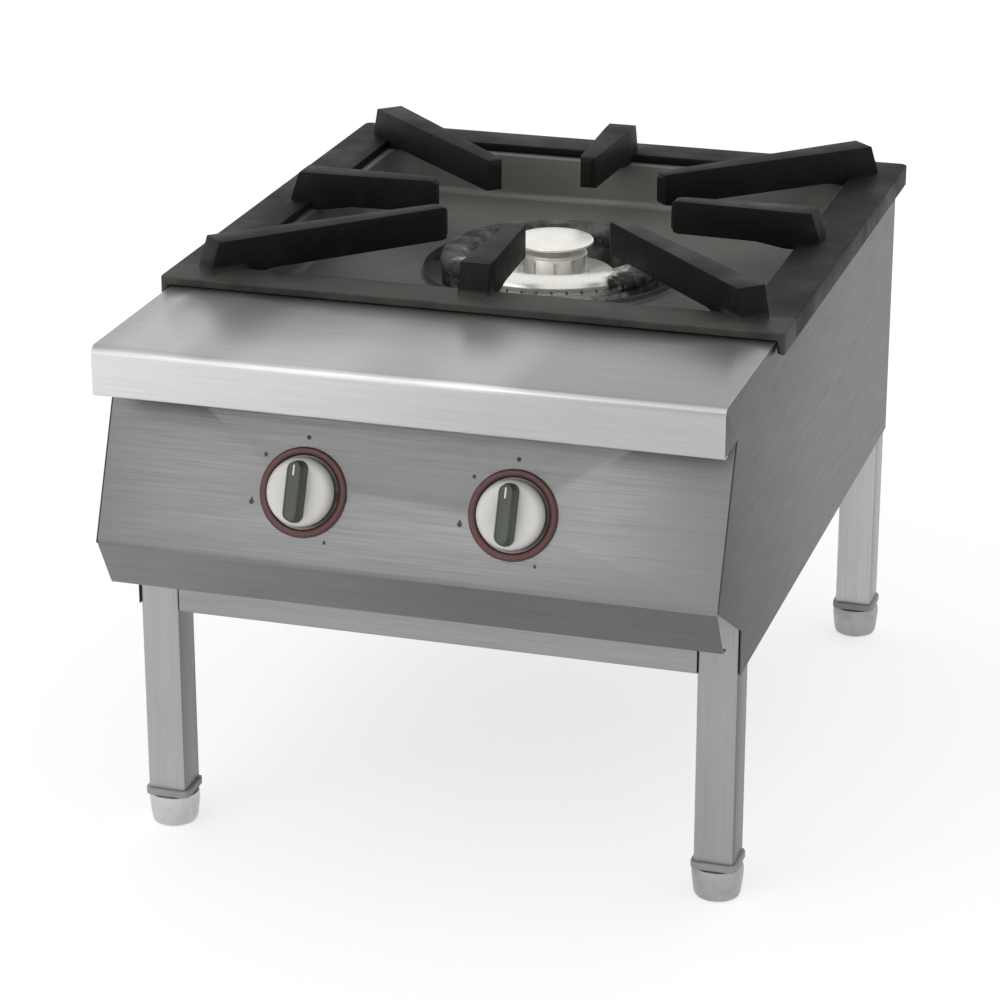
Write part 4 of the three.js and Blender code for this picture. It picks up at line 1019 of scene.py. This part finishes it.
def build_drip_tray(sizes):
    low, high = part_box("drip_tray")
    flange, sheet = 0.016, 0.001
    reach = high.x - flange
    floor_z = low.z + sheet
    under = high.z - sheet
    tray = block("drip_tray_pressing", (low.x, low.y, under), high)
    round_corners(tray, sizes.tray_corner + flange)
    for test, inset, drop in (
        (faces_down, flange, low.z - under),
        (faces_up, flange + sheet, floor_z - high.z),
    ):
        pick("FACE", test)
        bpy.ops.mesh.inset(thickness=inset)
        pull(0, 0, drop)

    def level(edge, z):
        return all(abs(v.co.z - z) < CLOSE for v in edge.verts)

    def inboard(edge):
        return max(abs(middle(edge).x), abs(middle(edge).y - BURNER_Y)) < reach + 0.0005

    for z, radius, segments in (
        (floor_z, sizes.tray_bottom, 5),
        (low.z, sizes.tray_bottom + sheet, 5),
        (high.z, 0.0022, 3),
        (under, 0.0012, 2),
    ):
        round_edges(lambda e: level(e, z) and inboard(e), radius, segments)
    leave_edit_mode()
    at = (0, BURNER_Y)
    radius, lip_height, sides = 0.134, 0.008, 96
    wide, above = radius + 0.0005, 0.01
    hole = turn("tray_hole", [(wide, floor_z - above), (wide, floor_z + above)], sides, at)
    combine(tray, hole, "DIFFERENCE")
    lip_top = floor_z + lip_height
    profile = [
        (radius, floor_z - 0.0008),
        (radius + 0.0035, floor_z - 0.0008),
        (radius + 0.0035, floor_z + 0.0003),
        (radius + 0.0016, floor_z + 0.0014),
        (radius + 0.001, floor_z + 0.003),
        (radius + 0.001, lip_top - 0.001),
        (radius + 0.0005, lip_top),
        (radius, lip_top - 0.0005),
    ]
    combine(tray, turn("tray_collar", profile, sides, at, closed=True), "UNION")
    break_edges(tray, 0.0002, 2, 40)
    smooth(tray, 40)
    fit_in(tray, "tray", "drip_tray")


def ports(count, near, far, width, bottom, top):
    """Cutters for radial flame ports round the burner's axis."""
    first = block("port", (near, -width / 2, bottom), (far, width / 2, top))
    around = [copy_at(first, "port_copy", about_burner(i, count)) for i in range(count)]
    bpy.data.objects.remove(first)
    return gather(around, "ports")


def build_caps():
    at = (0, BURNER_Y)
    low, high = (corner.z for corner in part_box("outer_burner_cap"))
    bore, rim, shoulder = 0.083, 0.117, 0.0105
    profile = [
        (bore, low),
        (rim, low),
        (rim, low + 0.007),
        (rim - 0.0025, low + shoulder),
        (rim - 0.007, high - 0.0008),
        (rim - 0.010, high),
        (bore + 0.010, high),
        (bore + 0.0065, high - 0.0008),
        (bore + 0.0025, low + shoulder),
        (bore, low + 0.007),
    ]
    outer = turn("outer_cap_casting", profile, 96, at, closed=True)
    break_edges(outer, 0.0008, 2, 25)
    port_width, port_height, past = 0.0022, 0.004, 0.007
    cutters = ports(48, bore - past, rim + past, port_width, low - 0.001, low + port_height)
    combine(outer, cutters, "DIFFERENCE")
    smooth(outer)
    fit_in(outer, "cap", "outer_burner_cap")

    low, high = (corner.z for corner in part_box("inner_burner_cap"))
    seat, neck, disc = 0.0335, 0.0165, 0.0415
    profile = [
        (seat, low),
        (seat, low + 0.0022),
        (neck + 0.0025, low + 0.0032),
        (neck, low + 0.0045),
        (neck, high - 0.0072),
        (neck + 0.0020, high - 0.0062),
        (disc - 0.0010, high - 0.0056),
        (disc, high - 0.0045),
        (disc - 0.0003, high - 0.0028),
        (disc - 0.0020, high - 0.0016),
        (0.0240, high - 0.0006),
        (0.0100, high - 0.0001),
        (0.0060, high),
    ]
    inner = turn("inner_cap_casting", profile, 72, at)
    break_edges(inner, 0.0005, 2, 25)
    smooth(inner)
    fit_in(inner, "alloy", "inner_burner_cap")


def build_knob(side, sizes):
    place = knob_frame(side)
    base, depth, bore = 0.0045, 0.014, 0.0045
    face = base + depth
    radius = sizes.knob_radius
    profile = [
        (radius - 0.0012, base),
        (radius, base + 0.001),
        (radius - 0.0004, face - 0.0065),
        (radius - 0.0012, face - 0.0045),
        (radius - 0.003, face - 0.0018),
        (radius - 0.005, face - 0.0004),
        (radius - 0.007, face),
        (bore, face),
        (bore, base + 0.0005),
    ]
    skirt = turn(f"knob_skirt_{side}", profile, 72, closed=True)
    break_edges(skirt, 0.0004, 2, 25)
    smooth(skirt)
    fit_in(move(skirt, place), "knob", f"knob_{side}")

    grip_height, rim, dish = 0.0150, 0.0012, 0.0006
    bottom = face + 0.0003
    top = bottom + grip_height
    half, length = sizes.grip_width / 2, sizes.grip_length / 2
    bar = block(f"knob_grip_bar_{side}", (-half, -length, bottom), (half, length, top))
    round_corners(bar, half * 0.9)
    pick("FACE", faces_up)
    grow((0.72, 0.93, 1), (0, 0, top))
    bpy.ops.mesh.inset(thickness=rim)
    pull(0, 0, -dish)
    leave_edit_mode()
    break_edges(bar, 0.0007, 3, 28)
    smooth(bar)
    fit_in(move(bar, place), "grip", f"knob_grip_{side}")

    half_line = 0.0008
    pointer = block(
        f"knob_pointer_{side}",
        (-half_line, length * 0.5, top - 0.0012),
        (half_line, length * 0.84, top - 0.0001),
    )
    break_edges(pointer, 0.0002)
    attach(move(pointer, place), "knob", f"knob_grip_{side}")

    near, far, under = 0.0345, 0.0421, 0.0003
    profile = [
        (near, under),
        (far, under),
        (far, 0.0014),
        (0.0415, 0.0024),
        (0.0398, 0.0028),
        (0.0365, 0.0026),
        (0.0350, 0.0020),
        (near, 0.0012),
    ]
    ring = turn(f"bezel_ring_{side}", profile, 96, closed=True)
    smooth(ring, 50)
    fit_in(move(ring, place), "bezel", f"bezel_{side}")


def printed_dot(name, radius, edge):
    """A thin printed dot. Its top is smaller than its foot by the edge."""
    low, rim, top = PRINT_HEIGHTS
    return turn(name, [(radius, low), (radius, rim), (radius - edge, top)], 32)


def droplet(name, radius, height):
    """A thin printed drop that points up."""
    drop = printed_dot(name, radius, radius * 0.1)
    edit(drop)
    for start, longer in ((0.2, 1.35), (0.7, 1.5)):
        pick("VERT", lambda v: v.co.y > radius * start)
        grow((0.72, longer, 1), (0, radius * start, 0))
    everything()
    grow((1, height / (2 * radius), 1), (0, 0, 0))
    leave_edit_mode()
    return drop


def build_dial_marks(side, sizes):
    """Off, spark, full and low marks round a knob, as thin prints on the panel."""
    off = printed_dot("off_mark", 0.0021, 0.0002)
    ray_length, ray_width = 0.0022, 0.00035
    low, _, top = PRINT_HEIGHTS
    spark = [block("spark_ray", (-ray_length, -ray_width, low), (ray_length, ray_width, top))]
    for i in range(1, 4):
        turned = Matrix.Rotation(i * math.pi / 4, 4, "Z")
        spark.append(copy_at(spark[0], "spark_ray", turned))
    full = droplet("full_mark", 0.0024, 0.0055)
    low_mark = droplet("low_mark", 0.0015, 0.0034)
    marks = []
    for piece, bearing in (
        (off, 0),
        (gather(spark, "spark_mark"), 52),
        (full, 105),
        (low_mark, 210),
    ):
        angle = math.radians(bearing)
        spot = Vector((-math.sin(angle), math.cos(angle), 0)) * sizes.mark_offset
        marks.append(move(piece, Matrix.Translation(spot)))
    prints = move(gather(marks, f"dial_marks_{side}"), knob_frame(side))
    attach(prints, "mark", "control_panel")


def build_screws(sizes):
    """Screws that hold the back panel, clear of its vents and of the worktop's fold."""
    low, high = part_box("back_panel")
    outward = Matrix.Rotation(-math.pi / 2, 4, "X")
    first = screw("screw", sizes.screw_radius, Matrix.Identity(4))
    inset, between_vents, clear = 0.010, 0.126, 0.012
    below_fold = WORKTOP_HIGH.z - sizes.rear_fold - clear
    for i, x in enumerate((low.x + inset, -between_vents, between_vents, high.x - inset)):
        for j, z in enumerate((low.z + inset, below_fold)):
            place = Matrix.Translation((x, high.y, z)) @ outward
            attach(copy_at(first, f"back_screw_{i}_{j}", place), "spindle", "back_panel")
    bpy.data.objects.remove(first)


def build_feet():
    """Turned feet, each with a threaded stud."""
    pitch, turns, stud, root = 0.00175, 22, 0.0060, 0.0053
    foot_top, stud_top = 0.0340, 0.0760
    thread = []
    for i in range(turns):
        start = foot_top + 0.0005 + i * pitch
        thread += [(root, start), (stud, start + pitch * 0.4), (stud, start + pitch * 0.6)]
    profile = [
        (0.0175, 0.0),
        (0.0185, 0.0008),
        (0.0215, 0.0020),
        (0.0228, 0.0050),
        (0.0240, 0.0140),
        (0.0250, 0.0240),
        (0.0250, 0.0305),
        (0.0243, 0.0328),
        (0.0220, foot_top),
        (stud, foot_top),
        *thread,
        (root, stud_top - 0.0010),
        (0.0045, stud_top),
    ]
    for row in ROWS:
        for side in SIDES:
            node = f"levelling_foot_{row}_{side}"
            low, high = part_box(node)
            at = ((low.x + high.x) / 2, (low.y + high.y) / 2)
            foot = turn(f"foot_{row}_{side}", profile, 64, at)
            smooth(foot, 35)
            fit_in(foot, "foot", node)


# ------------------------------------------------------------------ operators


class RANGE_OT_stage(bpy.types.Operator):
    """Sets the floor, the sky, the lamp and the camera"""

    bl_idname = "stock_pot_range.stage"
    bl_label = "Stage"

    def execute(self, context):
        settings = context.scene.range_stage
        nothing_selected()
        under_feet = -0.0002
        bpy.ops.mesh.primitive_circle_add(
            vertices=96,
            radius=settings.floor_radius,
            fill_type="NGON",
            location=(0, 0, under_feet),
        )
        floor = named("floor")
        paint = Finish("pale_floor", settings.floor, metallic=0.0, roughness=0.9)
        seen = paint.seen()
        paint.tint(seen, settings.seen_floor)
        paint.sockets["Emission Color"].default_value = WHITE
        glow = paint.spread(seen, 0, 1, 0, settings.glow)
        paint.links.new(glow, paint.sockets["Emission Strength"])
        floor.data.materials.append(paint.material)

        world = bpy.data.worlds.new("studio")
        context.scene.world = world
        world.use_nodes = True
        sky = Shading(world.node_tree)
        sockets = sky.nodes["Background"].inputs
        sockets["Color"].default_value = WHITE
        strength = sky.spread(sky.seen(), 0, 1, settings.light, 1)
        sky.links.new(strength, sockets["Strength"])

        bpy.ops.object.light_add(type="AREA", location=settings.lamp_place)
        lamp = context.object
        lamp.name = "key_lamp"
        lamp.data.size = settings.lamp_size
        lamp.data.energy = settings.lamp_power
        aim = Vector(settings.lamp_aim) - Vector(settings.lamp_place)
        lamp.rotation_euler = aim.to_track_quat("-Z", "Y").to_euler()

        aim = Vector(settings.aim)
        flat = math.cos(settings.elevation)
        back = Vector(
            (
                math.sin(settings.azimuth) * flat,
                -math.cos(settings.azimuth) * flat,
                math.sin(settings.elevation),
            )
        )
        bpy.ops.object.camera_add(location=aim + back * settings.distance)
        camera = context.object
        camera.rotation_euler = (-back).to_track_quat("-Z", "Y").to_euler()
        camera.data.sensor_width = 36
        camera.data.lens = settings.lens
        camera.data.clip_start = 0.05
        camera.data.clip_end = 100
        context.scene.camera = camera
        context.scene.view_settings.view_transform = "Standard"
        return {"FINISHED"}


class RANGE_OT_worktop(bpy.types.Operator):
    """Folds the worktop with its apron and tray opening"""

    bl_idname = "stock_pot_range.worktop"
    bl_label = "Worktop"

    def execute(self, context):
        build_worktop(context.scene.range_body)
        return {"FINISHED"}


class RANGE_OT_control_panel(bpy.types.Operator):
    """Folds the inclined control panel"""

    bl_idname = "stock_pot_range.control_panel"
    bl_label = "Control panel"

    def execute(self, context):
        build_control_panel(context.scene.range_body)
        return {"FINISHED"}


class RANGE_OT_body(bpy.types.Operator):
    """Finishes the side and back panels, the legs, the rails and their feet"""

    bl_idname = "stock_pot_range.body"
    bl_label = "Panels, legs and feet"

    def execute(self, context):
        sizes = context.scene.range_body
        for side in SIDES:
            dress(f"side_panel_{side}", "side")
        dress("back_panel", "galvanised", 0.0002)
        build_screws(sizes)
        for row in ROWS:
            for side in SIDES:
                leg = dress(f"leg_{row}_{side}", "leg", sizes.tube_edge, 3)
                # The right faces of each leg get a darker finish: painted shade.
                dress_faces(leg, "leg_shaded_side", lambda f: f.normal.x > 0.7)
                dress(f"foot_plug_{row}_{side}", "insert", 0.0008, 3)
            dress(f"base_rail_{row}", "rail", sizes.tube_edge, 3)
        for side in SIDES:
            dress(f"base_rail_{side}", "rail_along", sizes.tube_edge, 3)
            dress(f"burner_rail_{side}", "galvanised", sizes.tube_edge, 3)
        build_feet()
        return {"FINISHED"}


class RANGE_OT_pan_support(bpy.types.Operator):
    """Casts the pan support with its eight fingers"""

    bl_idname = "stock_pot_range.pan_support"
    bl_label = "Pan support"

    def execute(self, context):
        build_pan_support(context.scene.range_top)
        return {"FINISHED"}


class RANGE_OT_drip_tray(bpy.types.Operator):
    """Presses the drip tray"""

    bl_idname = "stock_pot_range.drip_tray"
    bl_label = "Drip tray"

    def execute(self, context):
        build_drip_tray(context.scene.range_top)
        return {"FINISHED"}


class RANGE_OT_burner(bpy.types.Operator):
    """Casts the burner rings and caps"""

    bl_idname = "stock_pot_range.burner"
    bl_label = "Burner"

    def execute(self, context):
        build_caps()
        dress("outer_burner", "cap", 0.0008, 2, 30)
        dress("inner_burner", "alloy", 0.0006, 2, 30)
        for ring in ("outer", "inner"):
            dress(f"air_shutter_{ring}", "galvanised", 0.0002)
            dress(f"injector_{ring}", "brass")
        return {"FINISHED"}


class RANGE_OT_knobs(bpy.types.Operator):
    """Moulds the knobs, their grips and the red rings"""

    bl_idname = "stock_pot_range.knobs"
    bl_label = "Knobs"

    def execute(self, context):
        sizes = context.scene.range_controls
        for side in SIDES:
            build_knob(side, sizes)
            build_dial_marks(side, sizes)
            dress(f"spindle_{side}", "spindle", 0.0003)
            dress(f"push_collar_{side}", "brass", 0.0003)
        return {"FINISHED"}


class RANGE_OT_gas_train(bpy.types.Operator):
    """Finishes the valves, pipes and brackets under the worktop"""

    bl_idname = "stock_pot_range.gas_train"
    bl_label = "Gas train"

    def execute(self, context):
        for side in SIDES:
            dress(f"gas_valve_{side}", "brass", 0.0007)
            dress(f"manifold_stand_{side}", "galvanised", 0.0005)
        for node, finish, width in (
            ("gas_manifold", "galvanised", 0.0004),
            ("gas_inlet_pipe", "galvanised", 0.0004),
            ("gas_inlet_elbow", "galvanised", 0),
            ("burner_bracket_front", "galvanised", 0.0006),
            ("burner_bracket_rear", "galvanised", 0.0006),
            ("supply_tube_outer", "copper", 0),
            ("supply_tube_inner", "copper", 0),
            ("pilot_plate", "galvanised", 0.0004),
            ("pilot_burner", "brass", 0.0003),
            ("flame_sensor", "copper", 0),
            ("pilot_tube", "alloy", 0),
        ):
            dress(node, finish, width)
        return {"FINISHED"}


OPERATORS = (
    RANGE_OT_stage,
    RANGE_OT_worktop,
    RANGE_OT_control_panel,
    RANGE_OT_body,
    RANGE_OT_pan_support,
    RANGE_OT_drip_tray,
    RANGE_OT_burner,
    RANGE_OT_knobs,
    RANGE_OT_gas_train,
)


GROUPS = {
    RangeBodySizes: "range_body",
    RangeTopSizes: "range_top",
    RangeControlSizes: "range_controls",
    RangeColours: "range_colours",
    RangeStage: "range_stage",
}


class RANGE_PT_pieces(bpy.types.Panel):
    """Lists the pieces, sizes and colours of the range"""

    bl_idname = "RANGE_PT_pieces"
    bl_label = "Stock Pot Range"
    bl_space_type = "VIEW_3D"
    bl_region_type = "UI"
    bl_category = "Stock Pot Range"

    def draw(self, context):
        scene = context.scene
        for operator in OPERATORS:
            self.layout.operator(operator.bl_idname)
        for group in GROUPS:
            box = self.layout.box()
            settings = getattr(scene, GROUPS[group])
            for key in group.__annotations__:
                box.prop(settings, key)


def register():
    for group, key in GROUPS.items():
        bpy.utils.register_class(group)
        setattr(bpy.types.Scene, key, bpy.props.PointerProperty(type=group))
    for operator in OPERATORS:
        bpy.utils.register_class(operator)
    bpy.utils.register_class(RANGE_PT_pieces)


def unregister():
    bpy.utils.unregister_class(RANGE_PT_pieces)
    for operator in reversed(OPERATORS):
        bpy.utils.unregister_class(operator)
    for group, key in GROUPS.items():
        delattr(bpy.types.Scene, key)
        bpy.utils.unregister_class(group)


def main():
    register()
    for operator in OPERATORS:
        family, name = operator.bl_idname.split(".")
        getattr(getattr(bpy.ops, family), name)()


if __name__ == "__main__":
    main()
